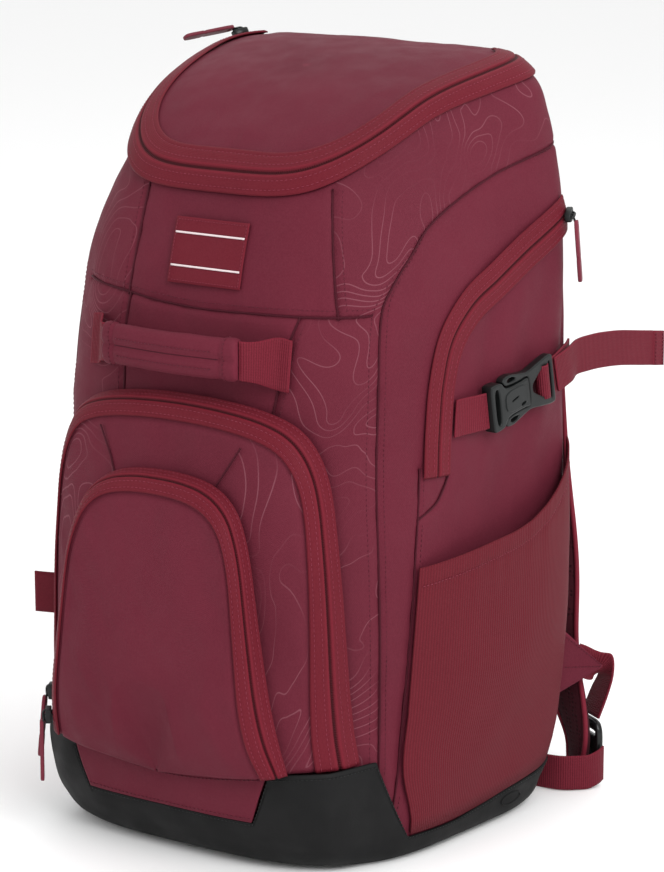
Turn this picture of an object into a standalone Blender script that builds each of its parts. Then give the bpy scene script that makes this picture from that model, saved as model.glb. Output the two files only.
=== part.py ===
"""Baseball bat backpack, made of separate sewn and moulded pieces.

Metres, +Z up. The front faces -Y, the back panel faces +Y, and the origin is on the
floor under the middle of the base. Right means +X.
"""
import math

import bmesh
import bpy
import numpy as np
from mathutils import Matrix, Vector

# Main compartment
HEIGHT = 0.533
WIDTH = 0.314
FRONT_REACH = 0.123
BACK_REACH = 0.130
WALL = 0.003
SEAT_GAP = 0.0005
SKIN_GAP = 0.0009

# Seams at which the walls of the main compartment are sewn together
SHELL_FRONT_SEAM = math.radians(26)
SHELL_FRONT_CORNER = math.radians(72)
SHELL_BACK_CORNER = math.radians(101)
SHELL_SPLIT_ANGLE = math.radians(0.3)

# Base boot and the band in its notch
BOOT_WALL = 0.002
BOOT_BULGE = 0.022
BOOT_CORNER_HEIGHT = 0.0765
BOOT_MIDDLE_HEIGHT = 0.0635
BOOT_NOTCH_FLOOR = 0.037
BAND_HALF_WIDTH = 0.069
BAND_SLANT = 0.013
SEAM_ANGLE = math.radians(58)
SEAM_FOOT_ANGLE = math.radians(73)

# Lid and its zip band
LID_WALL = 0.0025
LID_DOME = 0.007
LID_INSET = 0.013
ZIP_WALL = 0.0015
ZIP_DROP = 0.010
ZIP_OVERLAP = 0.003
LID_ZIP_END = math.radians(142.5)
LID_HINGE_START = math.radians(156)

# Front pockets
POCKET_WALL = 0.002
LARGE_HALF_WIDTH = 0.124
LARGE_TOP = 0.314
LARGE_DEPTH = 0.0175
LARGE_CROWN = 0.007
SMALL_HALF_WIDTH = 0.097
SMALL_TOP = 0.267
SMALL_DEPTH = 0.0155
SMALL_CROWN = 0.003
GUSSET_INSET = 0.014

# Handle
HANDLE_CENTRE = -0.008
HANDLE_LENGTH = 0.112
HANDLE_HEIGHT = 0.345
HANDLE_TALL = 0.028
HANDLE_THICK = 0.013
HANDLE_STANDOFF = 0.014
HANDLE_END_REACH = 0.028
HANDLE_END_TALL = 0.034

# Label patch
LABEL_CENTRE = 0.003
LABEL_HEIGHT = 0.408
LABEL_WIDTH = 0.060
LABEL_TALL = 0.043
LABEL_SLANT = 0.001
LABEL_WALL = 0.001

# Sides
SIDE_ZIP_WIDTH = 0.026
SIDE_POCKET_WALL = 0.0013
SIDE_POCKET_BULGE = 0.013
STRAP_WIDTH = 0.025
STRAP_WALL = 0.0016
STRAP_HEIGHT = 0.300
STRAP_BACK_SHARE = 0.925
BUCKLE_START_Y = 0.008
BUCKLE_LENGTH = 0.072
BUCKLE_WIDTH = 0.033
BUCKLE_THICK = 0.009
TAIL_LENGTH = 0.110

# Back
PANEL_THICK = 0.012
PANEL_HALF_WIDTH = 0.128
PANEL_FOOT_GAP = 0.004
PANEL_TOP = 0.498
SHOULDER_WIDTH = 0.062
SHOULDER_THICK = 0.011
WING_TOP = 0.124
WING_BOTTOM = 0.073
WING_REACH = 0.029
LOCK_WIDTH = 0.034
LOCK_TALL = 0.042
LOCK_THICK = 0.005

# Zip hardware
SLIDER_LENGTH = 0.012
SLIDER_WIDTH = 0.009
SLIDER_THICK = 0.005
PULL_LENGTH = 0.043
PULL_WIDTH = 0.0075
PULL_THICK = 0.0025
PULL_DROP = 0.0035

COLOURS = {
    "cloth": ((0.155, 0.026, 0.045), 0.62, 0.0),
    "zip": ((0.200, 0.024, 0.038), 0.55, 0.0),
    "mesh": ((0.160, 0.022, 0.036), 0.75, 0.0),
    "web": ((0.165, 0.020, 0.036), 0.60, 0.0),
    "rubber": ((0.024, 0.024, 0.026), 0.55, 0.0),
    "buckle": ((0.016, 0.018, 0.020), 0.35, 0.0),
    "panel": ((0.060, 0.012, 0.020), 0.80, 0.0),
    "pull": ((0.190, 0.026, 0.044), 0.55, 0.0),
}

# Horizontal sections of the main compartment. The first column is a share of HEIGHT, the
# widths are shares of half WIDTH, and the reaches are shares of FRONT_REACH and BACK_REACH.
SECTION_COLUMNS = ("height", "front_width", "back_width", "front_reach", "back_reach",
                   "front_square", "back_square")
SECTIONS = (
    (0.000, 0.815, 0.866, 0.910, 0.862, 3.3, 4.5),
    (0.011, 0.847, 0.917, 0.959, 0.923, 3.3, 4.8),
    (0.038, 0.866, 0.949, 0.984, 0.962, 3.4, 5.5),
    (0.094, 0.885, 0.981, 1.000, 0.985, 3.6, 7.0),
    (0.169, 0.892, 0.994, 1.000, 1.000, 3.7, 8.0),
    (0.281, 0.898, 1.000, 0.992, 1.000, 3.8, 9.0),
    (0.488, 0.898, 1.000, 0.959, 1.000, 3.8, 9.0),
    (0.657, 0.866, 1.000, 0.894, 1.000, 3.8, 9.0),
    (0.750, 0.815, 0.994, 0.829, 1.000, 3.7, 9.0),
    (0.826, 0.726, 0.981, 0.740, 0.992, 3.5, 9.0),
    (0.872, 0.643, 0.975, 0.675, 0.985, 3.4, 8.0),
    (0.919, 0.611, 0.958, 0.593, 0.969, 3.4, 7.0),
    (0.957, 0.586, 0.925, 0.537, 0.946, 3.4, 6.5),
    (1.000, 0.561, 0.790, 0.472, 0.900, 3.4, 5.5),
)

# Edge of the lid seen from the side: depth as a share of the mean reach, height of HEIGHT
LID_EDGE = (
    (-1.03, 0.835), (-0.71, 0.853), (-0.55, 0.878), (-0.40, 0.900),
    (-0.04, 0.945), (0.40, 0.973), (0.86, 0.989), (1.03, 0.993),
)

# Arched pocket outline, right side from the foot up: shares of half width and of height
POCKET_ARCH = (
    (1.000, 0.00), (0.975, 0.14), (0.955, 0.32), (0.930, 0.52), (0.890, 0.72), (0.840, 0.84),
    (0.760, 0.915), (0.640, 0.960), (0.450, 0.985), (0.220, 0.997), (0.000, 1.000),
)
SMALL_ARCH = (
    (1.000, 0.00), (0.930, 0.16), (0.865, 0.34), (0.800, 0.55), (0.745, 0.72), (0.680, 0.835),
    (0.590, 0.915), (0.460, 0.965), (0.310, 0.988), (0.150, 0.998), (0.000, 1.000),
)

# How far a pocket stands forward, up its height: share of height, share of depth
POCKET_SWELL = ((0.00, 1.06), (0.12, 1.08), (0.40, 1.06), (0.70, 1.00), (1.00, 0.90))
SMALL_SWELL = ((0.00, 0.10), (0.07, 0.62), (0.18, 0.98), (0.45, 1.10), (0.75, 1.00), (1.00, 0.90))

# Top edge of the boot along the side: depth as a share of the mean reach, height of HEIGHT
BOOT_SIDE_EDGE = ((-0.50, 0.032), (0.10, 0.035), (0.40, 0.046), (0.75, 0.055), (1.00, 0.066))

# Centre line of the side zip band: shares of the mean reach and of HEIGHT
SIDE_ZIP_PATH = (
    (-0.310, 0.494), (-0.295, 0.550), (-0.255, 0.610), (-0.160, 0.660), (0.020, 0.698),
    (0.250, 0.724), (0.500, 0.752), (0.740, 0.776), (0.905, 0.792),
)

# Hem of the side pocket: shares of the mean reach and of HEIGHT
SIDE_HEM = ((-0.44, 0.385), (0.00, 0.400), (0.40, 0.416), (0.72, 0.452), (0.93, 0.494))

# Centre line of a shoulder strap: shares of half WIDTH and of HEIGHT, and distance from the
# back panel as a share of SHOULDER_STANDOFF
SHOULDER_STANDOFF = 0.036
SHOULDER_PATH = (
    (0.380, 0.897, 0.00), (0.385, 0.870, 0.25), (0.400, 0.810, 0.70), (0.430, 0.700, 1.00),
    (0.465, 0.560, 1.00), (0.535, 0.420, 0.80), (0.645, 0.300, 0.45), (0.740, 0.195, 0.20),
    (0.856, 0.085, 0.30), (0.868, 0.024, 0.43),
)
SHOULDER_END_SHARE = 0.34
SHOULDER_TURN = math.radians(30)

# Centre line of the side strap: share of the mean reach, and rise from STRAP_HEIGHT in strap widths
STRAP_PATH = ((-0.18, 0.02), (0.063, 0.06), (0.62, 0.54), (0.80, 0.76), (0.95, 0.84))

# Free tail of the side strap: shares of TAIL_LENGTH, then rise and outward drift in strap widths
TAIL_PATH = ((0.14, 0.02, 0.02), (0.30, 0.00, 0.05), (0.50, -0.08, 0.10), (0.74, -0.24, 0.15),
             (1.00, -0.42, 0.17))

# Both edges of the lower webbing, from the wing's tip, in strap widths: out, back and rise of
# its outer edge, then of its inner edge
LOWER_WEB_PATH = (
    (-0.43, -0.56, 0.72, -0.43, -0.56, -0.28), (-0.275, -0.34, 0.60, -0.275, -0.34, -0.40),
    (-0.08, -0.02, 0.38, -0.32, -0.02, -0.46),
    (0.24, 0.10, 0.30, -0.44, 0.14, -0.46), (0.20, 0.20, -0.26, -0.52, 0.60, -0.46),
    (-0.04, 0.32, -0.94, -0.86, 0.80, -0.98), (-0.365, 0.38, -1.74, -1.205, 0.884, -1.74),
)

WEB_ROWS_ON_WING = 2

# Webbing from the lock round behind the boot, in strap widths: out, back, rise of its low edge
ADJUSTER_PATH = ((-0.13, 0.27, 0.16), (-0.15, 0.00, 0.08), (-0.28, -0.28, 0.0), (-0.52, -0.56, 0.0),
                 (-0.84, -0.80, 0.0), (-1.28, -0.888, 0.0), (-2.00, -0.888, 0.0))
FLOOR_GAP = 0.001

WING_ROOT_SHARE = 0.93
WING_WALL = 0.0016
TAG_DEPTH_SHARE = -0.69
TAG_BOTTOM = 0.136
TAG_TALL = 0.029
TAG_REACH = 0.024
TAG_WALL = 0.002
LOOP_HALF_WIDTH = 0.040
LOOP_REACH = 0.024
LOOP_TALL = 0.018
RIGHT_SLIDER_SHARE = 0.965
LEFT_SLIDER_SHARE = 0.33
LID_SLIDER_ANGLE = math.radians(-126)

# The slider of a pocket stands between this step of its outline and the next
POCKET_SLIDER_STEP = 23

# How far the toe stands out of the wall, up the boot: share of its height, share of BOOT_BULGE
TOE_RISE = ((0.0, 0.10), (0.10, 0.38), (0.30, 0.82), (0.60, 1.02), (1.0, 1.10))

# How the crown of the large pocket fades towards its edge: share of its reach, share of the crown
CROWN_FADE = ((0.35, 1.0), (0.68, 0.8), (0.88, 0.3), (1.0, 0.0))

# Arc along which the lid's slider and pull lie, and how much of the band's fold they follow
LID_PULL_ARC = math.radians(12)
BAND_FOLD_SHARE = 0.38

MIDDLE = Vector((0, 0, 0.25))

LID_CENTRE_SHARE = 0.12

POCKET_STEPS = 24

# Rings of a pocket from its edge to its face: share of the gusset's inset, scale of the whole
# outline, share of the depth, share of the crown
POCKET_RINGS = (
    (0.00, 1.00, 0.00, 0.0),
    (0.18, 1.00, 0.52, 0.0),
    (0.55, 1.00, 0.84, 0.0),
    (1.00, 1.00, 1.00, 0.0),
    (1.60, 0.95, 1.00, 0.3),
    (1.00, 0.68, 1.00, 0.8),
    (1.00, 0.35, 1.00, 1.0),
)
ZIP_RINGS = 4

# Front edge of the side pocket: share of HEIGHT, then depth as a share of the mean reach
POCKET_FRONT_EDGE = ((0.0, -0.44), (0.05, -0.455), (0.12, -0.54), (0.20, -0.52), (0.40, -0.45))
POCKET_BACK_EDGE = ((0.0, 0.78), (0.05, 0.82), (0.10, 0.88), (0.18, 0.93), (0.50, 0.93))
POCKET_COLUMNS = (0.0, 0.05, 0.14, 0.28, 0.45, 0.62, 0.76, 0.87, 0.94, 0.975, 1.0)


def smooth(value):
    value = min(max(value, 0.0), 1.0)
    return value * value * (3.0 - 2.0 * value)


def mix(start, end, share):
    return start + (end - start) * share


def curve(table, at, key=0, value=1):
    """Smooth curve through two columns of a table, held level past its ends."""
    knots = [row[key] for row in table]
    values = [row[value] for row in table]
    slopes = np.gradient(values, knots)
    at = min(max(at, knots[0]), knots[-1])
    index = min(max(int(np.searchsorted(knots, at, side="right")) - 1, 0), len(knots) - 2)
    width = knots[index + 1] - knots[index]
    t = (at - knots[index]) / width
    start = (2 * t**3 - 3 * t**2 + 1) * values[index]
    end = (-2 * t**3 + 3 * t**2) * values[index + 1]
    bend = (t**3 - 2 * t**2 + t) * slopes[index] + (t**3 - t**2) * slopes[index + 1]
    return float(start + end + bend * width)


def mean_reach():
    return (FRONT_REACH + BACK_REACH) / 2


def section(height):
    """Sizes of the horizontal section at a height."""
    share = height / HEIGHT
    shares = {name: curve(SECTIONS, share, 0, index)
              for index, name in enumerate(SECTION_COLUMNS) if index}
    return {
        "front_width": shares["front_width"] * WIDTH / 2,
        "back_width": shares["back_width"] * WIDTH / 2,
        "front": -shares["front_reach"] * FRONT_REACH,
        "back": shares["back_reach"] * BACK_REACH,
        "front_square": shares["front_square"],
        "back_square": shares["back_square"],
    }


def half_width(sizes, y):
    """Half-width of a section where it crosses y, before its corners are rounded."""
    share = (y - sizes["front"]) / (sizes["back"] - sizes["front"])
    return mix(sizes["front_width"], sizes["back_width"], share)


def wall(angle, height, out=0.0, at_height=None):
    """Point on the main wall. Angle 0 is the front, and a quarter turn is the right side."""
    sizes = section(height if at_height is None else at_height)
    forward = math.cos(angle) > 0
    power = sizes["front_square"] if forward else sizes["back_square"]
    reach = sizes["front"] - out if forward else sizes["back"] + out
    across = math.sin(angle)
    y = reach * abs(math.cos(angle)) ** (2 / power)
    x = math.copysign(abs(across) ** (2 / power), across) * (half_width(sizes, y) + out)
    return Vector((x, y, height))


def front_y(x, height, out=0.0):
    """Depth of the front wall at a place across and a height."""
    sizes = section(height)
    power = sizes["front_square"]
    y = sizes["front"]
    for _ in range(12):
        share = min(abs(x) / half_width(sizes, y), 0.999)
        y = sizes["front"] * (1 - share**power) ** (1 / power)
    return y - out


def back_y(x, height, out=0.0):
    """Depth of the back wall at a place across and a height."""
    sizes = section(height)
    power = sizes["back_square"]
    share = min(abs(x) / sizes["back_width"], 0.999)
    return sizes["back"] * (1 - share**power) ** (1 / power) + out


def side_point(y, height, out, side):
    """Point on a side wall at a depth and a height. side is 1 on the right, -1 on the left."""
    sizes = section(height)
    power, reach = sizes["front_square"], sizes["front"]
    if y > 0:
        power, reach = sizes["back_square"], sizes["back"]
    share = min(abs(y / reach), 0.999)
    x = half_width(sizes, y) * (1 - share**power) ** (1 / power) + out
    return Vector((side * x, y, height))


def rim_height(angle):
    """Height at which the wall meets the plane of the lid's edge."""
    height = HEIGHT * 0.92
    for _ in range(40):
        y = wall(angle, height).y
        height = mix(height, curve(LID_EDGE, y / mean_reach()) * HEIGHT, 0.5)
    return height


def zip_share(angle):
    """1 where the lid has its zip, 0 at the hinge across the back."""
    turn = abs(math.remainder(angle, math.tau))
    return 1 - smooth((turn - LID_ZIP_END) / (LID_HINGE_START - LID_ZIP_END))


def bend_outward(faces, vertices, centre):
    """Turn the faces over if most of them look towards the centre."""
    total = 0.0
    for face in faces:
        corners = [vertices[index] for index in face]
        normal = (corners[1] - corners[0]).cross(corners[2] - corners[0])
        total += normal.dot(corners[0] - centre)
    if total < 0:
        return [tuple(reversed(face)) for face in faces]
    return faces


def grid_mesh(name, rows, wrap, centre):
    """Mesh over rows of points. A row of one point closes the grid to that point."""
    vertices, starts = [], []
    for row in rows:
        starts.append(len(vertices))
        vertices.extend(row)
    faces = []
    for index in range(len(rows) - 1):
        low, high = rows[index], rows[index + 1]
        count = max(len(low), len(high))
        steps = count if wrap else count - 1
        for step in range(steps):
            following = (step + 1) % count
            corners = []
            for row_index, row, place in ((index, low, step), (index, low, following),
                                          (index + 1, high, following), (index + 1, high, step)):
                vertex = starts[row_index] + (place if len(row) > 1 else 0)
                if vertex not in corners:
                    corners.append(vertex)
            faces.append(tuple(corners))
    mesh = bpy.data.meshes.new(name)
    faces = bend_outward(faces, vertices, centre)
    mesh.from_pydata([tuple(point) for point in vertices], [], faces)
    return mesh


def material(slot):
    """Principled material of a slot, made once."""
    found = bpy.data.materials.get(slot)
    if found:
        return found
    colour, roughness, metallic = COLOURS[slot]
    made = bpy.data.materials.new(slot)
    made.use_nodes = True
    shader = made.node_tree.nodes["Principled BSDF"]
    shader.inputs["Base Color"].default_value = (*colour, 1.0)
    shader.inputs["Roughness"].default_value = roughness
    shader.inputs["Metallic"].default_value = metallic
    return made


def add_object(name, mesh, slot, sharp=40):
    """Link a mesh as a named object with its own material."""
    mesh.shade_smooth()
    mesh.set_sharp_from_angle(angle=math.radians(sharp))
    own = material(slot).copy()
    own.name = name + "_" + slot
    mesh.materials.append(own)
    made = bpy.data.objects.new(name, mesh)
    bpy.context.collection.objects.link(made)
    return made


def cloth(name, rows, thickness, slot, outward=True, wrap=False, centre=MIDDLE):
    """Closed wall of even thickness grown from a grid of points, away from the centre or in."""
    made = add_object(name, grid_mesh(name, rows, wrap, centre), slot)
    wall_modifier = made.modifiers.new("wall", "SOLIDIFY")
    wall_modifier.thickness = thickness
    wall_modifier.offset = 1.0 if outward else -1.0
    wall_modifier.use_even_offset = True
    return made


def pad(name, inner, outer, slot):
    """Closed solid between two matching open grids of points."""
    rows, columns = len(inner), len(inner[0])
    points = [point for row in inner + outer for point in row]
    far = rows * columns
    faces = []
    for row in range(rows - 1):
        for column in range(columns - 1):
            corner = row * columns + column
            quad = (corner, corner + 1, corner + columns + 1, corner + columns)
            faces.append(quad)
            faces.append(tuple(far + index for index in reversed(quad)))
    border = [(0, column) for column in range(columns)]
    border += [(row, columns - 1) for row in range(1, rows)]
    border += [(rows - 1, column) for column in range(columns - 2, -1, -1)]
    border += [(row, 0) for row in range(rows - 2, 0, -1)]
    for index, (row, column) in enumerate(border):
        next_row, next_column = border[(index + 1) % len(border)]
        here, there = row * columns + column, next_row * columns + next_column
        faces.append((there, here, far + here, far + there))
    mesh = bpy.data.meshes.new(name)
    mesh.from_pydata([tuple(point) for point in points], [], faces)
    shape = bmesh.new()
    shape.from_mesh(mesh)
    bmesh.ops.recalc_face_normals(shape, faces=shape.faces)
    shape.to_mesh(mesh)
    shape.free()
    return add_object(name, mesh, slot)


def block(name, size, place, slot, bevel):
    """Box with rounded edges, placed by a matrix."""
    shape = bmesh.new()
    bmesh.ops.create_cube(shape, size=1.0)
    bmesh.ops.scale(shape, vec=Vector(size), verts=shape.verts)
    mesh = bpy.data.meshes.new(name)
    shape.to_mesh(mesh)
    shape.free()
    made = add_object(name, mesh, slot)
    made.matrix_world = place
    rounding = made.modifiers.new("rounding", "BEVEL")
    rounding.width = bevel
    rounding.segments = 2
    return made


def plate(name, outline, thickness, place, slot, holes=()):
    """Flat plate from an outline in its own plane, with rectangular holes cut through."""
    shape = bmesh.new()
    low = [shape.verts.new((x, y, -thickness / 2)) for x, y in outline]
    face = shape.faces.new(low)
    grown = bmesh.ops.extrude_face_region(shape, geom=[face])
    top = [item for item in grown["geom"] if isinstance(item, bmesh.types.BMVert)]
    bmesh.ops.translate(shape, vec=(0, 0, thickness), verts=top)
    bmesh.ops.recalc_face_normals(shape, faces=shape.faces)
    mesh = bpy.data.meshes.new(name)
    shape.to_mesh(mesh)
    shape.free()
    made = add_object(name, mesh, slot)
    made.matrix_world = place
    for index, (x, y, length, width) in enumerate(holes):
        cutter = block(f"{name}_cutter_{index}", (length, width, thickness * 3),
                       place @ Matrix.Translation((x, y, 0)), slot, width * 0.2)
        cutter.hide_render = True
        cutter.display_type = "WIRE"
        cut = made.modifiers.new(f"hole_{index}", "BOOLEAN")
        cut.operation = "DIFFERENCE"
        cut.solver = "EXACT"
        cut.object = cutter
    return made


def frame_at(origin, along, normal):
    """Matrix whose X runs along, whose Z is the normal, placed at the origin."""
    along = along.normalized()
    across = normal.cross(along).normalized()
    upright = along.cross(across).normalized()
    turned = Matrix((along, across, upright)).transposed().to_4x4()
    return Matrix.Translation(origin) @ turned


def ring_angles(count):
    return [math.tau * index / count for index in range(count)]


def wall_rows(angles, heights, out):
    return [[wall(angle, height, out) for angle in angles] for height in heights]


def shell_angles(start, finish):
    """Angles of one wall of the shell, with a narrow gap left at its two ends."""
    clear = SHELL_SPLIT_ANGLE
    inner = [angle for angle in ring_angles(48) if start + clear * 4 < angle < finish - clear * 4]
    inner += [angle - math.tau for angle in ring_angles(48)
              if start + clear * 4 < angle - math.tau < finish - clear * 4]
    return [start + clear, *sorted(inner), finish - clear]


def make_main_shell():
    """Padded floor and four walls, sewn at the corners, with the mouth open under the lid."""
    floor = BOOT_WALL + SEAT_GAP
    seat = [wall(angle, floor, -WALL - SEAT_GAP, at_height=0.0) for angle in ring_angles(48)]
    rows = [[Vector((0, 0, floor))], [mid_point(point, 0.8) for point in seat], seat]
    cloth("main_shell_floor", rows, WALL, "cloth", outward=False, wrap=True)
    front, corner, back = SHELL_FRONT_SEAM, SHELL_FRONT_CORNER, SHELL_BACK_CORNER
    walls = (("front", -front, front), ("front_right", front, corner), ("right", corner, back),
             ("back", back, math.tau - back), ("left", -back, -corner), ("front_left", -corner, -front))
    low = [floor + 0.004, 0.020, 0.080]
    for name, start, finish in walls:
        angles = shell_angles(start, finish)
        rows = [[wall(angle, floor, at_height=0.0) for angle in angles]]
        rows += wall_rows(angles, low, 0.0)
        tops = [rim_height(angle) - mix(SEAT_GAP, ZIP_DROP - ZIP_OVERLAP / 2, zip_share(angle))
                for angle in angles]
        for share in (0.2, 0.45, 0.65, 0.8, 0.9, 1.0):
            rows.append([wall(angle, mix(low[-1], top, share)) for angle, top in zip(angles, tops)])
        cloth("main_shell_" + name, rows, WALL, "cloth", outward=False)


def mid_point(point, share):
    """The point drawn towards the upright axis."""
    return Vector((point.x * share, point.y * share, point.z))


def lid_point(angle, share, lift=0.0, edge_angle_inset=None):
    """Point on the lid: share 1 is its edge, and 0 is its middle."""
    inset = LID_INSET if edge_angle_inset is None else edge_angle_inset
    inset = mix(SEAT_GAP, inset, zip_share(angle))
    rim = wall(angle, rim_height(angle))
    centre = Vector((0, LID_CENTRE_SHARE * mean_reach(), rim.z))
    spoke = Vector((rim.x, rim.y - centre.y))
    length = max(spoke.length - inset, 0.0) * share
    place = spoke.normalized() * length
    y = centre.y + place.y
    height = curve(LID_EDGE, y / mean_reach()) * HEIGHT
    rise = LID_DOME * (1 - (length / spoke.length) ** 2)
    base = LID_WALL + SEAT_GAP
    return Vector((place.x, y, height + rise + base + lift))


def make_lid():
    angles = ring_angles(48)
    rows = [[lid_point(angle, share) for angle in angles] for share in (1.0, 0.85, 0.55)]
    rows.append([lid_point(0.0, 0.0)])
    cloth("lid", rows, LID_WALL, "cloth", outward=False, wrap=True, centre=Vector((0, 0, 0)))


def make_lid_zipper():
    """Zip band from the wall's top over to the lid's edge."""
    angles = sorted(math.remainder(angle, math.tau) for angle in ring_angles(48))
    angles = [angle for angle in angles if abs(angle) < LID_ZIP_END + SEAT_GAP]
    wall_edge, middle, lid_edge = [], [], []
    for angle in angles:
        low = wall(angle, rim_height(angle) - ZIP_DROP, SKIN_GAP)
        high = lid_point(angle, 1.0, SKIN_GAP, LID_INSET + ZIP_OVERLAP)
        rim = wall(angle, rim_height(angle), SKIN_GAP) + Vector((0, 0, LID_WALL))
        wall_edge.append(low)
        middle.append(rim.lerp((low + high) / 2, BAND_FOLD_SHARE))
        lid_edge.append(high)
    cloth("lid_zipper", [wall_edge, middle, lid_edge], ZIP_WALL, "zip")


def boot_line(x):
    """Height of the seam between the front toe and the pockets."""
    share = smooth(abs(x) / LARGE_HALF_WIDTH)
    return mix(BOOT_MIDDLE_HEIGHT, BOOT_CORNER_HEIGHT, share)


def toe_forward(angle, height):
    """How far the toe stands ahead of the main wall."""
    turn = abs(math.remainder(angle, math.tau))
    side_fade = smooth((SEAM_ANGLE - turn) / math.radians(13))
    return BOOT_BULGE * side_fade * curve(TOE_RISE, height / BOOT_CORNER_HEIGHT)


def toe_point(angle, height, out):
    point = wall(angle, height, out)
    point.y -= toe_forward(angle, height)
    return point


def angle_at(x, height):
    """Angle at which the wall stands at a place across the front."""
    sizes = section(height)
    share = min(abs(x) / half_width(sizes, front_y(x, height)), 1.0)
    return math.copysign(math.asin(share ** (sizes["front_square"] / 2)), x)


def boot_top(angle):
    """Height of the boot's top edge round the base."""
    turn = abs(math.remainder(angle, math.tau))
    notch_foot = angle_at(BAND_HALF_WIDTH, BOOT_NOTCH_FLOOR)
    notch_head = angle_at(BAND_HALF_WIDTH + BAND_SLANT, BOOT_MIDDLE_HEIGHT)
    seam_head = boot_line(wall(SEAM_ANGLE, BOOT_CORNER_HEIGHT).x)
    side_foot = curve(BOOT_SIDE_EDGE, wall(turn, BOOT_NOTCH_FLOOR).y / mean_reach()) * HEIGHT
    if turn <= notch_foot:
        return BOOT_NOTCH_FLOOR
    if turn <= notch_head:
        share = (turn - notch_foot) / (notch_head - notch_foot)
        head = boot_line(BAND_HALF_WIDTH + BAND_SLANT) - SEAT_GAP
        return mix(BOOT_NOTCH_FLOOR, head, share)
    if turn <= SEAM_ANGLE:
        return boot_line(wall(turn, BOOT_MIDDLE_HEIGHT).x) - SEAT_GAP
    if turn <= SEAM_FOOT_ANGLE:
        share = (turn - SEAM_ANGLE) / (SEAM_FOOT_ANGLE - SEAM_ANGLE)
        return mix(seam_head - SEAT_GAP, side_foot, share)
    return side_foot


def boot_angles():
    """Even steps round the base, with the notch and the seam met exactly."""
    keys = [angle_at(BAND_HALF_WIDTH, BOOT_NOTCH_FLOOR),
            angle_at(BAND_HALF_WIDTH + BAND_SLANT, BOOT_MIDDLE_HEIGHT),
            SEAM_ANGLE, SEAM_FOOT_ANGLE]
    steps = [math.radians(degree) for degree in range(0, 181, 8)]
    clear = math.radians(3)
    steps = [step for step in steps if all(abs(step - key) > clear for key in keys)]
    half = sorted(steps + keys)
    right = [step for step in half if 0 < step < math.pi - clear / 4]
    back = [math.pi] if half[-1] > math.pi - clear / 4 else []
    return [0.0, *right, *back, *[-step for step in reversed(right)]]


def make_base_boot():
    """Rubberised tray: flat bottom, bulging toe with a notch, low sides."""
    angles = boot_angles()
    edge = [wall(angle, BOOT_WALL, SKIN_GAP / 2, at_height=0.0) for angle in angles]
    rows = [[Vector((0, 0, BOOT_WALL))], [mid_point(point, 0.8) for point in edge], edge]
    foot = BOOT_WALL + 0.004
    for share in (0.0, 0.18, 0.5, 0.78, 1.0):
        rows.append([toe_point(angle, mix(foot, boot_top(angle), share), SKIN_GAP)
                     for angle in angles])
    cloth("base_boot", rows, BOOT_WALL, "rubber", wrap=True)


def make_front_band():
    """Plain strip that fills the notch of the boot."""
    rows = []
    floor_angle = angle_at(BAND_HALF_WIDTH, BOOT_NOTCH_FLOOR)
    for share in (0.0, 0.5, 1.0):
        row = []
        for index in range(13):
            across = mix(-1.0, 1.0, index / 12)
            reach = BAND_HALF_WIDTH + BAND_SLANT * share - SKIN_GAP
            x = across * reach
            height = mix(BOOT_NOTCH_FLOOR + SEAT_GAP, boot_line(x) - SEAT_GAP, share)
            angle = angle_at(x, height) if abs(x) > 1e-6 else 0.0
            row.append(toe_point(angle, height, SKIN_GAP))
        rows.append(row)
    cloth("front_band", rows, BOOT_WALL, "cloth")


def arch(table, half, top, share, foot):
    """Point of a pocket outline. share runs 0 to 1 from the right foot over to the left foot."""
    place = 1 - abs(2 * share - 1)
    knots = [(index / (len(table) - 1), *row) for index, row in enumerate(table)]
    x = curve(knots, place, 0, 1) * half * (1 if share < 0.5 else -1)
    rise = curve(knots, place, 0, 2)
    low = foot(x)
    return Vector((x, mix(low, top, rise)))


def swell(table, height, top):
    """How much of its depth a pocket keeps at a height."""
    return curve(table, (height - BOOT_MIDDLE_HEIGHT) / (top - BOOT_MIDDLE_HEIGHT))


def pocket_rows(table, half, top, foot, base_y, depth, crown, inset, swells):
    """Rings of a pocket shell: the edge on its base, the gusset, and the crowned face."""
    places = [index / POCKET_STEPS for index in range(POCKET_STEPS + 1)]
    outline = [arch(table, half, top, place, foot) for place in places]
    centre = Vector((0.0, foot(0.0)))
    rows = []
    for inset_share, scale, depth_share, crown_share in POCKET_RINGS:
        row = []
        for point in outline:
            spoke = point - centre
            length = spoke.length
            drawn = centre + spoke * ((length - inset * inset_share) / length) * scale
            drawn.y = max(drawn.y, foot(drawn.x))
            keep = swell(swells, drawn.y, top)
            ahead = (depth * depth_share + crown * crown_share) * keep
            row.append(Vector((drawn.x, base_y(drawn.x, drawn.y) - ahead, drawn.y)))
        rows.append(row)
    middle = foot(0.0)
    ahead = (depth + crown) * swell(swells, middle, top)
    rows.append([Vector((0, base_y(0, middle) - ahead, middle))])
    return rows


def large_face_y(x, height):
    """Depth of the large pocket's face, which the small pocket is sewn to."""
    keep = swell(POCKET_SWELL, height, LARGE_TOP)
    reach = LARGE_TOP - BOOT_MIDDLE_HEIGHT
    spread = max(abs(x) / LARGE_HALF_WIDTH, (height - BOOT_MIDDLE_HEIGHT) / reach)
    crown = LARGE_CROWN * curve(CROWN_FADE, spread)
    return front_y(x, height, SKIN_GAP + POCKET_WALL) - (LARGE_DEPTH + crown) * keep


def make_large_pocket():
    def base(x, height):
        return front_y(x, height, SKIN_GAP + POCKET_WALL)

    rows = pocket_rows(POCKET_ARCH, LARGE_HALF_WIDTH, LARGE_TOP, boot_line, base,
                       LARGE_DEPTH, LARGE_CROWN, GUSSET_INSET, POCKET_SWELL)
    cloth("front_pocket_large", rows, POCKET_WALL, "cloth", outward=False)
    make_pocket_zip(rows, "large")


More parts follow.
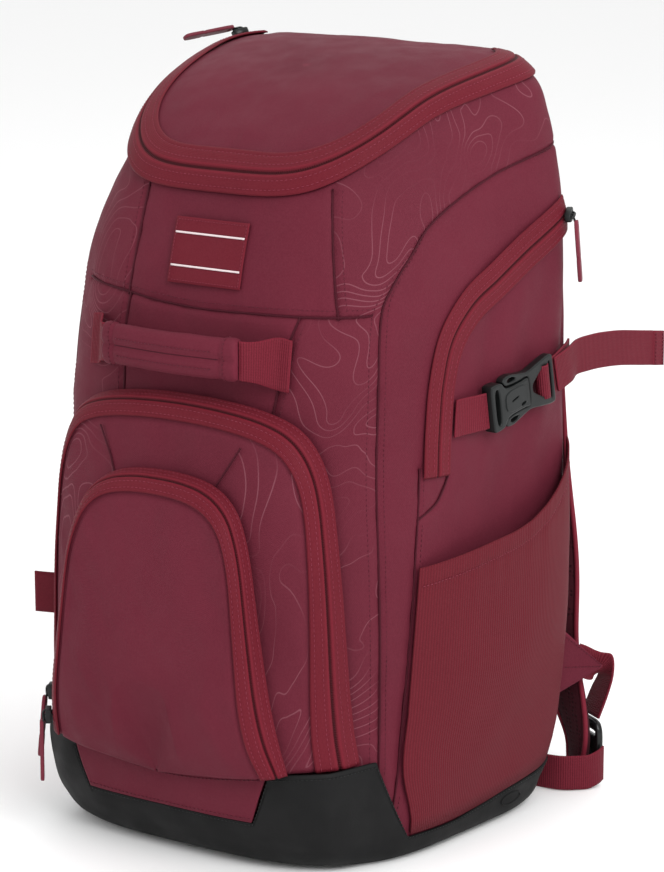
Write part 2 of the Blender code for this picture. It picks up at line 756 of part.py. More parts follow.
def make_small_pocket():
    def base(x, height):
        return large_face_y(x, height) - SKIN_GAP - POCKET_WALL

    rows = pocket_rows(SMALL_ARCH, SMALL_HALF_WIDTH, SMALL_TOP, boot_line, base,
                       SMALL_DEPTH, SMALL_CROWN, GUSSET_INSET * 0.86, SMALL_SWELL)
    cloth("front_pocket_small", rows, POCKET_WALL, "cloth", outward=False)
    make_pocket_zip(rows, "small")


def boot_clear(seat):
    """Way down for a pull from its seat, kept clear of the boot's toe."""
    end = seat - Vector((0, 0, PULL_LENGTH))
    clearance = SKIN_GAP + BOOT_WALL + PULL_THICK
    for height in (end.z, (end.z + BOOT_CORNER_HEIGHT) / 2, BOOT_CORNER_HEIGHT):
        toe = toe_point(angle_at(end.x, height), height, clearance)
        end.y = min(end.y, toe.y)
    hang = end - seat
    return hang.normalized()


def make_pocket_zip(rows, name):
    """Zip band laid over the gusset of a pocket, with its slider near the left foot."""
    band = []
    for index in range(ZIP_RINGS):
        row = []
        for step, point in enumerate(rows[index]):
            low = rows[max(index - 1, 0)][step]
            high = rows[index + 1][step]
            ahead = rows[index][min(step + 1, POCKET_STEPS)]
            behind = rows[index][max(step - 1, 0)]
            normal = (high - low).cross(ahead - behind).normalized()
            if normal.y > 0:
                normal = -normal
            row.append((point, normal))
        band.append(row)
    name_of_band = name + "_pocket_zipper"
    cloth(name_of_band, [[point + normal * SKIN_GAP for point, normal in row] for row in band],
          ZIP_WALL, "zip")
    step = POCKET_SLIDER_STEP
    corners = [band[row][step + index] for row in (1, 2) for index in (0, 1)]
    normal = sum((corner[1] for corner in corners), Vector()).normalized()
    seat = sum((corner[0] for corner in corners), Vector()) / len(corners)
    seat += normal * (SKIN_GAP + ZIP_WALL + SEAT_GAP)
    run = band[1][step - 1][0] - band[1][step + 1][0]
    make_slider(name, seat, run, normal, boot_clear(seat))


def handle_axis(share):
    """Centre of the grip, from its left end to its right end."""
    x = HANDLE_CENTRE + (share - 0.5) * HANDLE_LENGTH
    bow = mix(0.72, 1.0, math.sin(math.pi * share))
    y = front_y(x, HANDLE_HEIGHT) - HANDLE_STANDOFF * bow - HANDLE_THICK / 2
    return Vector((x, y, HANDLE_HEIGHT))


def make_handle_grip():
    rows = [[handle_axis(0.0)]]
    for share in (0.0, 0.02, 0.15, 0.35, 0.5, 0.65, 0.85, 0.98, 1.0):
        centre = handle_axis(share)
        draw = 0.78 if share in (0.0, 1.0) else 1.0
        ring = []
        for angle in ring_angles(12):
            across = math.copysign(abs(math.cos(angle)) ** 0.8, math.cos(angle))
            rise = math.copysign(abs(math.sin(angle)) ** 0.8, math.sin(angle))
            ring.append(centre + Vector((0, across * HANDLE_THICK / 2 * draw,
                                         rise * HANDLE_TALL / 2 * draw)))
        rows.append(ring)
    rows.append([handle_axis(1.0)])
    mesh = grid_mesh("handle_grip", rows, True, handle_axis(0.5))
    add_object("handle_grip", mesh, "cloth")


def make_handle_end(side):
    """Webbing from an end of the grip down to the front wall, wider where it is sewn on."""
    grip_end = handle_axis(0.5 + side * 0.5)
    start = grip_end.x + side * SEAT_GAP
    rows = []
    for share in (0.0, 0.3, 0.6, 0.8, 1.0):
        x = start + side * HANDLE_END_REACH * share
        drop = smooth(min(share / 0.75, 1.0))
        half = mix(HANDLE_TALL * 0.46, HANDLE_END_TALL / 2, share)
        low_shift = 0.004 * share
        row = []
        for height in (HANDLE_HEIGHT - half - low_shift, HANDLE_HEIGHT,
                       HANDLE_HEIGHT + half - low_shift):
            row.append(Vector((x, mix(grip_end.y, front_y(x, height, SEAT_GAP), drop), height)))
        rows.append(row)
    name = "handle_end_right" if side > 0 else "handle_end_left"
    cloth(name, rows, STRAP_WALL, "web")


def make_label_patch():
    rows = []
    for up in (-1, 0, 1):
        row = []
        for across in (-1, -0.5, 0, 0.5, 1):
            x = LABEL_CENTRE + across * LABEL_WIDTH / 2 + up * LABEL_SLANT / 2
            height = LABEL_HEIGHT + up * LABEL_TALL / 2
            row.append(Vector((x, front_y(x, height, SEAT_GAP), height)))
        rows.append(row)
    cloth("label_patch", rows, LABEL_WALL, "cloth")


def side_name(base, side):
    return base + ("_right" if side > 0 else "_left")


def side_zip_axis(share):
    """Depth and height of the side zip's centre line, from its foot to its back end."""
    knots = [(index / (len(SIDE_ZIP_PATH) - 1), *row) for index, row in enumerate(SIDE_ZIP_PATH)]
    return Vector((curve(knots, share, 0, 1) * mean_reach(), curve(knots, share, 0, 2) * HEIGHT))


def make_side_zipper(side):
    steps = 16
    rows = []
    for index in range(steps + 1):
        share = index / steps
        here = side_zip_axis(share)
        step = side_zip_axis(min(share + 0.02, 1.0)) - side_zip_axis(max(share - 0.02, 0.0))
        across = Vector((-step.y, step.x)).normalized()
        row = []
        for reach in (-0.5, 0.0, 0.5):
            place = here + across * reach * SIDE_ZIP_WIDTH
            row.append(side_point(place.x, place.y, SKIN_GAP, side))
        rows.append(row)
    cloth(side_name("side_zipper", side), rows, ZIP_WALL, "zip")


def make_side_pocket(side):
    """Stretch pocket, open along its hem and standing off the wall in its middle."""
    rows = []
    for rise in (0.0, 0.15, 0.32, 0.5, 0.68, 0.85, 1.0):
        row = []
        for share in POCKET_COLUMNS:
            front, rear = POCKET_FRONT_EDGE[0][1], POCKET_BACK_EDGE[0][1]
            for _ in range(6):
                place = mix(front, rear, share)
                low = curve(BOOT_SIDE_EDGE, place) * HEIGHT + BOOT_WALL
                height = mix(low, curve(SIDE_HEM, place) * HEIGHT, rise)
                front = curve(POCKET_FRONT_EDGE, height / HEIGHT)
                rear = curve(POCKET_BACK_EDGE, height / HEIGHT)
            bulge = math.sin(math.pi * share) ** 0.9 * smooth(rise * 1.6)
            out = SKIN_GAP + SIDE_POCKET_BULGE * bulge
            row.append(side_point(place * mean_reach(), height, out, side))
        rows.append(row)
    cloth(side_name("side_pocket", side), rows, SIDE_POCKET_WALL, "mesh")


def strap_height(y):
    return STRAP_HEIGHT + curve(STRAP_PATH, y / mean_reach()) * STRAP_WIDTH


def strap_row(y, out, side):
    """Three points across the side strap, square to its run."""
    reach = STRAP_WIDTH / 2
    run = Vector((2 * reach, strap_height(y + reach) - strap_height(y - reach))).normalized()
    row = []
    for share in (-1, 0, 1):
        shift = Vector((-run.y, run.x)) * reach * share
        row.append(side_point(y + shift.x, strap_height(y) + shift.y, out, side))
    return row


def buckle_frame(side):
    """Frame at the fastened end of the female half: X along the strap, Z off the wall."""
    start = side_point(BUCKLE_START_Y, strap_height(BUCKLE_START_Y), 0.0, side)
    finish_y = BUCKLE_START_Y + BUCKLE_LENGTH
    finish = side_point(finish_y, strap_height(finish_y), 0.0, side)
    along = finish - start
    normal = along.cross(Vector((0, 0, 1))) * side
    place = frame_at(start, along, normal)
    lift = SKIN_GAP * 2 + BUCKLE_THICK / 2
    return place @ Matrix.Translation((0, 0, lift))


def make_buckle(side):
    """Side-release buckle, fastened: the female half ahead, the male half behind."""
    place = buckle_frame(side)
    half = BUCKLE_WIDTH / 2
    waist = half * 0.62
    female_end = BUCKLE_LENGTH * 0.56
    shoulder = BUCKLE_LENGTH * 0.20
    gap = SEAT_GAP
    female = [(0, -half), (shoulder, -half * 0.94), (shoulder * 1.5, -waist), (female_end, -waist),
              (female_end, waist), (shoulder * 1.5, waist), (shoulder, half * 0.94), (0, half)]
    slot_width = STRAP_WALL * 2.5
    slot_length = STRAP_WIDTH * 1.04
    plate(side_name("buckle_female", side), female, BUCKLE_THICK, place, "buckle",
          [(BUCKLE_LENGTH * 0.09, 0, slot_width, slot_length)])
    prong = shoulder * 1.75
    inner = waist + gap
    male = [(BUCKLE_LENGTH, -half), (BUCKLE_LENGTH, half), (female_end, half), (prong, half * 0.98),
            (prong, inner), (female_end + gap, inner), (female_end + gap, -inner),
            (prong, -inner), (prong, -half * 0.98), (female_end, -half)]
    plate(side_name("buckle_male", side), male, BUCKLE_THICK * 0.75, place, "buckle",
          [(BUCKLE_LENGTH * 0.72, 0, BUCKLE_LENGTH * 0.16, slot_length),
           (BUCKLE_LENGTH * 0.91, 0, slot_width, slot_length)])


def zip_inner_edge(height):
    """Depth of the side zip's inner edge at a height, where the strap starts."""
    best = None
    for index in range(41):
        share = index / 80
        here = side_zip_axis(share)
        step = side_zip_axis(share + 0.02) - here
        inner = here + Vector((step.y, -step.x)).normalized() * SIDE_ZIP_WIDTH / 2
        if best is None or abs(inner.y - height) < abs(best.y - height):
            best = inner
    return best.x


def buckle_edge(side, along):
    """Three points across an end of the buckle, at its mid thickness."""
    place = buckle_frame(side)
    return [place @ Vector((along, side * share * STRAP_WIDTH / 2, -STRAP_WALL / 2))
            for share in (-1, 0, 1)]


def make_side_straps(side):
    """Webbing ahead of the buckle, and behind it back to the seam, and the free tail."""
    first = []
    for share in (-1, 0, 1):
        height = STRAP_HEIGHT + share * STRAP_WIDTH / 2
        first.append(side_point(zip_inner_edge(height) + SKIN_GAP * 2, height, SKIN_GAP, side))
    last = buckle_edge(side, -SEAT_GAP)
    rows = []
    for share in (0.0, 0.3, 0.6, 0.85, 1.0):
        row = []
        for low, high in zip(first, last):
            point = low.lerp(high, share)
            seat = side_point(point.y, point.z, SKIN_GAP, side)
            rise = (high - side_point(high.y, high.z, SKIN_GAP, side)) * smooth(share)
            row.append(seat + rise)
        rows.append(row)
    cloth(side_name("side_strap_front", side), rows, STRAP_WALL, "web")

    first = buckle_edge(side, BUCKLE_LENGTH + SEAT_GAP)
    buckle_out = abs(first[1].x) - abs(side_point(first[1].y, first[1].z, 0.0, side).x)
    start = first[1].y
    seam = BACK_REACH * STRAP_BACK_SHARE * 0.97
    rows = [first]
    for share in (0.25, 0.5, 0.75, 1.0):
        y = mix(start, seam, share)
        rows.append(strap_row(y, mix(buckle_out, SKIN_GAP, smooth(share)), side))
    cloth(side_name("side_strap_back", side), rows, STRAP_WALL, "web")

    rows = []
    lift = buckle_out + STRAP_WALL + SEAT_GAP
    start += STRAP_WIDTH * 0.14
    for share in (0.0, 0.5, 1.0):
        rows.append(strap_row(mix(start, seam, share), lift, side))
    last = rows[-1][1]
    half = STRAP_WIDTH / 2
    for share, rise, out in TAIL_PATH:
        centre = Vector((last.x + side * out * STRAP_WIDTH, last.y + share * TAIL_LENGTH,
                         last.z + rise * STRAP_WIDTH))
        rows.append([centre - Vector((0, 0, half)), centre, centre + Vector((0, 0, half))])
    cloth(side_name("side_strap_tail", side), rows, STRAP_WALL, "web")


def make_side_tag():
    """Folded cloth tag sewn in the left front seam."""
    rows = []
    for height in (TAG_BOTTOM, TAG_BOTTOM + TAG_TALL):
        root = side_point(TAG_DEPTH_SHARE * FRONT_REACH, height, SKIN_GAP, -1)
        rows.append([root + Vector((-TAG_REACH * share, -TAG_REACH * 0.35 * share, 0))
                     for share in (0.0, 0.5, 1.0)])
    cloth("side_tag", rows, TAG_WALL, "cloth")


def panel_face(x, height, out):
    return Vector((x, back_y(x, height, out), height))


def make_back_panel():
    """Padded back panel with rolled edges."""
    inner, outer = [], []
    steps_up = 9
    bottom = BOOT_SIDE_EDGE[-1][1] * HEIGHT + PANEL_FOOT_GAP
    for up in range(steps_up + 1):
        rise = 2 * up / steps_up - 1
        height = mix(bottom, PANEL_TOP, up / steps_up)
        half = PANEL_HALF_WIDTH * mix(1.0, 0.80, smooth((rise - 0.55) / 0.45))
        low, high = [], []
        for share in (-1, -0.92, -0.82, -0.6, 0, 0.6, 0.82, 0.92, 1):
            roll = max((1 - abs(share) ** 6) * (1 - abs(rise) ** 10), 0.0) ** 0.5
            low.append(panel_face(share * half, height, SKIN_GAP))
            high.append(panel_face(share * half, height,
                                   SKIN_GAP + PANEL_THICK * mix(0.3, 1.0, roll)))
        inner.append(low)
        outer.append(high)
    pad("back_panel", inner, outer, "panel")


def shoulder_axis(share):
    knots = [(index / (len(SHOULDER_PATH) - 1), *row) for index, row in enumerate(SHOULDER_PATH)]
    x = curve(knots, share, 0, 1) * WIDTH / 2
    height = curve(knots, share, 0, 2) * HEIGHT
    out = SKIN_GAP * 2 + PANEL_THICK + curve(knots, share, 0, 3) * SHOULDER_STANDOFF
    return Vector((x, back_y(0.0, height) + out, height))


def make_shoulder_strap(side):
    """Padded strap that leaves the panel's top and comes back near its foot."""
    inner, outer = [], []
    steps = 14
    for index in range(steps + 1):
        share = index / steps
        here = shoulder_axis(share)
        step = shoulder_axis(min(share + 0.03, 1.0)) - shoulder_axis(max(share - 0.03, 0.0))
        turn = SHOULDER_TURN * smooth((share - 0.7) / 0.3)
        across = Vector((math.cos(turn), -math.sin(turn), 0))
        across = (across - step * (step.dot(across) / step.length_squared)).normalized()
        normal = across.cross(step).normalized()
        if normal.y < 0:
            normal = -normal
        half = SHOULDER_WIDTH / 2 * mix(1.0, SHOULDER_END_SHARE, smooth((share - 0.62) / 0.38))
        low, high = [], []
        for reach in (-1.0, -0.55, 0.0, 0.55, 1.0):
            edge = here + across * half * reach
            roll = mix(0.45, 1.0, (1 - abs(reach) ** 3) ** 0.5) if abs(reach) < 1 else 0.45
            low.append(edge)
            high.append(edge + normal * SHOULDER_THICK * roll)
        if side < 0:
            low = [Vector((-point.x, point.y, point.z)) for point in low]
            high = [Vector((-point.x, point.y, point.z)) for point in high]
        inner.append(low)
        outer.append(high)
    pad(side_name("shoulder_strap", side), inner, outer, "panel")


def wing_tip(side):
    middle = mix(WING_BOTTOM, WING_TOP, 0.37)
    root = side_point(BACK_REACH * WING_ROOT_SHARE, middle, SKIN_GAP, side)
    return root + Vector((side * WING_REACH * 0.71, WING_REACH, 0))


def wing_corners(side):
    top = side_point(BACK_REACH * WING_ROOT_SHARE, WING_TOP, SKIN_GAP, side)
    foot = side_point(BACK_REACH * WING_ROOT_SHARE, WING_BOTTOM, SKIN_GAP, side)
    return top, foot, wing_tip(side)


def make_strap_wing(side):
    """Cloth triangle sewn into the back corner, with the lower webbing in its tip."""
    top, foot, tip = wing_corners(side)
    rows = []
    for share in (0.0, 0.5, 0.96):
        rows.append([top.lerp(tip, share), top.lerp(foot, 0.5).lerp(tip, share),
                     foot.lerp(tip, share)])
    cloth(side_name("strap_wing", side), rows, WING_WALL, "cloth")


def from_tip(side, out, back, rise):
    """Point measured from the wing's tip in strap widths."""
    return wing_tip(side) + Vector((side * out, back, rise)) * STRAP_WIDTH


def make_lower_web(side):
    """Webbing out of the wing's tip, folded over and down to the ladder lock."""
    top, foot, tip = wing_corners(side)
    outward = (top - foot).cross(tip - foot).normalized()
    outward *= math.copysign(1.0, outward.x * side)
    rows = []
    for index, (*outer, back, rise, low) in enumerate(LOWER_WEB_PATH):
        row = [from_tip(side, *outer), from_tip(side, back, rise, low)]
        if index < WEB_ROWS_ON_WING:
            row = [point - outward * ((point - tip).dot(outward) + SEAT_GAP) for point in row]
        rows.append(row)
    cloth(side_name("lower_web", side), rows, STRAP_WALL, "web")


def lock_frame(side):
    """Frame of the ladder lock: X up, Y across, hung from the end of the lower webbing."""
    *outer, back, rise, low = LOWER_WEB_PATH[-1]
    outer, inner = from_tip(side, *outer), from_tip(side, back, rise, low)
    across = (outer - inner).normalized()
    centre = (outer + inner) / 2 - Vector((0, 0, LOCK_TALL / 2 + SEAT_GAP))
    return frame_at(centre, Vector((0, 0, 1)), Vector((0, 0, 1)).cross(across))


def make_ladder_lock(side):
    half_tall, half_wide = LOCK_TALL / 2, LOCK_WIDTH / 2
    outline = [(-half_tall, -half_wide * 0.8), (-half_tall * 0.7, -half_wide),
               (half_tall * 0.7, -half_wide), (half_tall, -half_wide * 0.8),
               (half_tall, half_wide * 0.8), (half_tall * 0.7, half_wide),
               (-half_tall * 0.7, half_wide), (-half_tall, half_wide * 0.8)]
    slot = (STRAP_WALL * 3, STRAP_WIDTH * 1.05)
    plate(side_name("ladder_lock", side), outline, LOCK_THICK, lock_frame(side), "buckle",
          [(half_tall * 0.5, 0, *slot), (-half_tall * 0.5, 0, *slot)])


def make_adjuster_web(side):
    """Webbing from the ladder lock round behind the boot's corner, standing on its edge."""
    tip = wing_tip(side)
    rows = []
    for out, back, rise in ADJUSTER_PATH:
        low = Vector((tip.x + side * out * STRAP_WIDTH, tip.y + back * STRAP_WIDTH,
                      FLOOR_GAP + rise * STRAP_WIDTH))
        rows.append([low, low + Vector((0, 0, STRAP_WIDTH / 2)), low + Vector((0, 0, STRAP_WIDTH))])
    cloth(side_name("adjuster_web", side), rows, STRAP_WALL, "web")


def make_haul_loop():
    """Webbing loop at the top of the back panel."""
    rows = []
    height = PANEL_TOP + LOOP_TALL / 2 + SEAT_GAP
    for index in range(13):
        turn = math.pi * index / 12
        x = -math.cos(turn) * LOOP_HALF_WIDTH
        rise = math.sin(turn) ** 0.8 * LOOP_REACH if 0 < index < 12 else 0.0
        y = back_y(x, height, SKIN_GAP) + rise
        rows.append([Vector((x, y, height - LOOP_TALL / 2)), Vector((x, y, height + LOOP_TALL / 2))])
    cloth("haul_loop", rows, STRAP_WALL, "web", centre=Vector((0, 0, height)))


def make_slider(name, seat, along, normal, hang):
    """Zip slider on its band, and the pull tab that hangs from it."""
    lift = SLIDER_THICK / 2 + SEAT_GAP
    place = frame_at(seat + normal * lift, along, normal)
    block(name + "_slider", (SLIDER_LENGTH, SLIDER_WIDTH, SLIDER_THICK), place, "buckle",
          SLIDER_THICK * 0.25)
    half = PULL_WIDTH / 2
    outline = [(0, -half * 0.5), (half, -half), (PULL_LENGTH - half, -half), (PULL_LENGTH, -half * 0.5),
               (PULL_LENGTH, half * 0.5), (PULL_LENGTH - half, half), (half, half), (0, half * 0.5)]
    top = seat + normal * (SLIDER_THICK + SEAT_GAP * 2 + PULL_THICK / 2) + hang * PULL_DROP
    plate(name + "_pull", outline, PULL_THICK, frame_at(top, hang, normal), "pull",
          [(half * 1.1, 0, half * 0.8, half * 0.8)])


def make_sliders():
    zip_out = SKIN_GAP + ZIP_WALL
    down = Vector((0, 0, -1))
    for side, share in ((1, RIGHT_SLIDER_SHARE), (-1, LEFT_SLIDER_SHARE)):
        here = side_zip_axis(share)
        step = side_zip_axis(share + 0.02) - side_zip_axis(share - 0.02)
        seat = side_point(here.x, here.y, zip_out, side)
        ahead = side_point(here.x + step.x, here.y + step.y, zip_out, side)
        above = side_point(here.x, here.y + 0.01, zip_out, side)
        behind = side_point(here.x + 0.01, here.y, zip_out, side)
        normal = (behind - seat).cross(above - seat).normalized() * side
        hang = (down - normal * down.dot(normal)).normalized()
        make_slider(side_name("side", side), seat, ahead - seat, normal, hang)

    angle = LID_SLIDER_ANGLE
    low = wall(angle, rim_height(angle) - ZIP_DROP, zip_out)
    high = lid_point(angle, 1.0, zip_out, LID_INSET + ZIP_OVERLAP)
    rim = wall(angle, rim_height(angle), zip_out) + Vector((0, 0, LID_WALL))
    seat = rim.lerp((low + high) / 2, BAND_FOLD_SHARE)
    next_angle = angle + LID_PULL_ARC
    ahead = wall(next_angle, rim_height(next_angle), zip_out) - wall(angle, rim_height(angle), zip_out)
    normal = (high - low).cross(ahead).normalized()
    if normal.z < 0:
        normal = -normal
    run = ahead if ahead.z < 0 else -ahead
    hang = (run - normal * run.dot(normal)).normalized()
    make_slider("lid", seat + normal * SEAT_GAP, hang, normal, hang)


def clear_scene():
    for old in list(bpy.data.objects):
        bpy.data.objects.remove(old, do_unlink=True)


def main():
    clear_scene()
    make_main_shell()
    make_lid()
    make_lid_zipper()
    make_base_boot()
    make_front_band()
    make_large_pocket()
    make_small_pocket()
    make_handle_grip()
    make_label_patch()
    for side in (1, -1):
        make_handle_end(side)
        make_side_zipper(side)
        make_side_pocket(side)
        make_buckle(side)
        make_side_straps(side)
        make_shoulder_strap(side)
        make_strap_wing(side)
        make_lower_web(side)
        make_ladder_lock(side)
        make_adjuster_web(side)
    make_side_tag()
    make_back_panel()
    make_haul_loop()
    make_sliders()


main()
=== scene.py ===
"""Looks of the baseball bat backpack: cloth, zips, webbing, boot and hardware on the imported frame."""
import bisect
import functools
import math

import bmesh
import bpy
import numpy as np
from mathutils import Matrix, Vector, noise


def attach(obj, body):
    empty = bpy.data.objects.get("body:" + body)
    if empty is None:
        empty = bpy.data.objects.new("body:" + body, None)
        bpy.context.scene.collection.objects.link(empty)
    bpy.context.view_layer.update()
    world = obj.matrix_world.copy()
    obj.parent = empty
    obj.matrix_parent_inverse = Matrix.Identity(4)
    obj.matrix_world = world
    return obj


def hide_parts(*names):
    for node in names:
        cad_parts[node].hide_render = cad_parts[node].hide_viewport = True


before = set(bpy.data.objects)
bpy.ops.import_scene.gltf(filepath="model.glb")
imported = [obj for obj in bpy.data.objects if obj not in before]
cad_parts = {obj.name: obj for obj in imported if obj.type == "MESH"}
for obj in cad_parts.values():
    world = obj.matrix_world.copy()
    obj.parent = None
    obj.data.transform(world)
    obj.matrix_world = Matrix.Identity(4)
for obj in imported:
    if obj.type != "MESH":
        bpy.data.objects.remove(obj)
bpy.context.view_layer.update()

# Main compartment
HEIGHT = 0.533
WIDTH = 0.314
FRONT_REACH = 0.123
BACK_REACH = 0.130
WALL = 0.003
SEAT_GAP = 0.0005
SKIN_GAP = 0.0009
# Base boot and the band in its notch
BOOT_WALL = 0.002
BOOT_BULGE = 0.022
BOOT_CORNER_HEIGHT = 0.0765
BOOT_MIDDLE_HEIGHT = 0.0635
BOOT_NOTCH_FLOOR = 0.037
BAND_HALF_WIDTH = 0.069
BAND_SLANT = 0.013
SEAM_ANGLE = math.radians(58)
SEAM_FOOT_ANGLE = math.radians(73)
# Lid and its zip band
LID_WALL = 0.0025
LID_DOME = 0.007
LID_INSET = 0.013
ZIP_WALL = 0.0015
ZIP_DROP = 0.010
ZIP_OVERLAP = 0.003
LID_ZIP_END = math.radians(142.5)
LID_HINGE_START = math.radians(156)
# Front pockets
POCKET_WALL = 0.002
LARGE_HALF_WIDTH = 0.124
LARGE_TOP = 0.314
LARGE_DEPTH = 0.0175
LARGE_CROWN = 0.007
SMALL_HALF_WIDTH = 0.097
SMALL_TOP = 0.267
SMALL_DEPTH = 0.0155
SMALL_CROWN = 0.003
GUSSET_INSET = 0.014
# Handle
HANDLE_CENTRE = -0.008
HANDLE_LENGTH = 0.112
HANDLE_HEIGHT = 0.345
HANDLE_TALL = 0.028
HANDLE_THICK = 0.013
HANDLE_STANDOFF = 0.014
HANDLE_END_REACH = 0.028
HANDLE_END_TALL = 0.034
# Label patch
LABEL_CENTRE = 0.003
LABEL_HEIGHT = 0.408
LABEL_WIDTH = 0.060
LABEL_TALL = 0.043
LABEL_SLANT = 0.001
# Sides
SIDE_ZIP_WIDTH = 0.026
SIDE_POCKET_WALL = 0.0013
SIDE_POCKET_BULGE = 0.013
STRAP_WIDTH = 0.025
STRAP_WALL = 0.0016
STRAP_HEIGHT = 0.300
STRAP_BACK_SHARE = 0.925
BUCKLE_START_Y = 0.008
BUCKLE_LENGTH = 0.072
BUCKLE_WIDTH = 0.033
BUCKLE_THICK = 0.009
TAIL_LENGTH = 0.110
# Back
PANEL_THICK = 0.012
PANEL_HALF_WIDTH = 0.128
PANEL_FOOT_GAP = 0.004
PANEL_TOP = 0.498
SHOULDER_WIDTH = 0.062
SHOULDER_THICK = 0.011
WING_TOP = 0.124
WING_BOTTOM = 0.073
WING_REACH = 0.029
LOCK_WIDTH = 0.034
LOCK_TALL = 0.042
LOCK_THICK = 0.005
# Horizontal sections of the main compartment. The first column is a share of HEIGHT, the
# widths are shares of half WIDTH, and the reaches are shares of FRONT_REACH and BACK_REACH.
SECTION_COLUMNS = ("height", "front_width", "back_width", "front_reach", "back_reach",
                   "front_square", "back_square")
SECTIONS = (
    (0.000, 0.815, 0.866, 0.910, 0.862, 3.3, 4.5),
    (0.011, 0.847, 0.917, 0.959, 0.923, 3.3, 4.8),
    (0.038, 0.866, 0.949, 0.984, 0.962, 3.4, 5.5),
    (0.094, 0.885, 0.981, 1.000, 0.985, 3.6, 7.0),
    (0.169, 0.892, 0.994, 1.000, 1.000, 3.7, 8.0),
    (0.281, 0.898, 1.000, 0.992, 1.000, 3.8, 9.0),
    (0.488, 0.898, 1.000, 0.959, 1.000, 3.8, 9.0),
    (0.657, 0.866, 1.000, 0.894, 1.000, 3.8, 9.0),
    (0.750, 0.815, 0.994, 0.829, 1.000, 3.7, 9.0),
    (0.826, 0.726, 0.981, 0.740, 0.992, 3.5, 9.0),
    (0.872, 0.643, 0.975, 0.675, 0.985, 3.4, 8.0),
    (0.919, 0.611, 0.958, 0.593, 0.969, 3.4, 7.0),
    (0.957, 0.586, 0.925, 0.537, 0.946, 3.4, 6.5),
    (1.000, 0.561, 0.790, 0.472, 0.900, 3.4, 5.5),
)
# Edge of the lid seen from the side: depth as a share of the mean reach, height of HEIGHT
LID_EDGE = (
    (-1.03, 0.835), (-0.71, 0.853), (-0.55, 0.878), (-0.40, 0.900),
    (-0.04, 0.945), (0.40, 0.973), (0.86, 0.989), (1.03, 0.993),
)
# Arched pocket outline, right side from the foot up: shares of half width and of height
POCKET_ARCH = (
    (1.000, 0.00), (0.975, 0.14), (0.955, 0.32), (0.930, 0.52), (0.890, 0.72), (0.840, 0.84),
    (0.760, 0.915), (0.640, 0.960), (0.450, 0.985), (0.220, 0.997), (0.000, 1.000),
)
SMALL_ARCH = (
    (1.000, 0.00), (0.930, 0.16), (0.865, 0.34), (0.800, 0.55), (0.745, 0.72), (0.680, 0.835),
    (0.590, 0.915), (0.460, 0.965), (0.310, 0.988), (0.150, 0.998), (0.000, 1.000),
)
# How far a pocket stands forward, up its height: share of height, share of depth
POCKET_SWELL = ((0.00, 1.06), (0.12, 1.08), (0.40, 1.06), (0.70, 1.00), (1.00, 0.90))
SMALL_SWELL = ((0.00, 0.10), (0.07, 0.62), (0.18, 0.98), (0.45, 1.10), (0.75, 1.00), (1.00, 0.90))
# Top edge of the boot along the side: depth as a share of the mean reach, height of HEIGHT
BOOT_SIDE_EDGE = ((-0.50, 0.032), (0.10, 0.035), (0.40, 0.046), (0.75, 0.055), (1.00, 0.066))
# Centre line of the side zip band: shares of the mean reach and of HEIGHT
SIDE_ZIP_PATH = (
    (-0.310, 0.494), (-0.295, 0.550), (-0.255, 0.610), (-0.160, 0.660), (0.020, 0.698),
    (0.250, 0.724), (0.500, 0.752), (0.740, 0.776), (0.905, 0.792),
)
# Hem of the side pocket: shares of the mean reach and of HEIGHT
SIDE_HEM = ((-0.44, 0.385), (0.00, 0.400), (0.40, 0.416), (0.72, 0.452), (0.93, 0.494))
# Centre line of a shoulder strap: shares of half WIDTH and of HEIGHT, and distance from the
# back panel as a share of SHOULDER_STANDOFF
SHOULDER_STANDOFF = 0.036
SHOULDER_PATH = (
    (0.380, 0.897, 0.00), (0.385, 0.870, 0.25), (0.400, 0.810, 0.70), (0.430, 0.700, 1.00),
    (0.465, 0.560, 1.00), (0.535, 0.420, 0.80), (0.645, 0.300, 0.45), (0.740, 0.195, 0.20),
    (0.856, 0.085, 0.30), (0.868, 0.024, 0.43),
)
SHOULDER_END_SHARE = 0.34
SHOULDER_TURN = math.radians(30)
# Centre line of the side strap: share of the mean reach, and rise from STRAP_HEIGHT in strap widths
STRAP_PATH = ((-0.18, 0.02), (0.063, 0.06), (0.62, 0.54), (0.80, 0.76), (0.95, 0.84))
# Free tail of the side strap: shares of TAIL_LENGTH, then rise and outward drift in strap widths
TAIL_PATH = ((0.14, 0.02, 0.02), (0.30, 0.00, 0.05), (0.50, -0.08, 0.10), (0.74, -0.24, 0.15),
             (1.00, -0.42, 0.17))
# Both edges of the lower webbing, from the wing's tip, in strap widths: out, back and rise of
# its outer edge, then of its inner edge
LOWER_WEB_PATH = (
    (-0.43, -0.56, 0.72, -0.43, -0.56, -0.28), (-0.275, -0.34, 0.60, -0.275, -0.34, -0.40),
    (-0.08, -0.02, 0.38, -0.32, -0.02, -0.46),
    (0.24, 0.10, 0.30, -0.44, 0.14, -0.46), (0.20, 0.20, -0.26, -0.52, 0.60, -0.46),
    (-0.04, 0.32, -0.94, -0.86, 0.80, -0.98), (-0.365, 0.38, -1.74, -1.205, 0.884, -1.74),
)
WEB_ROWS_ON_WING = 2
# Webbing from the lock round behind the boot, in strap widths: out, back, rise of its low edge
ADJUSTER_PATH = ((-0.13, 0.27, 0.16), (-0.15, 0.00, 0.08), (-0.28, -0.28, 0.0), (-0.52, -0.56, 0.0),
                 (-0.84, -0.80, 0.0), (-1.28, -0.888, 0.0), (-2.00, -0.888, 0.0))
FLOOR_GAP = 0.001
WING_ROOT_SHARE = 0.93
WING_WALL = 0.0016
TAG_DEPTH_SHARE = -0.69
TAG_BOTTOM = 0.136
TAG_TALL = 0.029
TAG_REACH = 0.024
TAG_WALL = 0.002
LOOP_HALF_WIDTH = 0.040
LOOP_REACH = 0.024
LOOP_TALL = 0.018
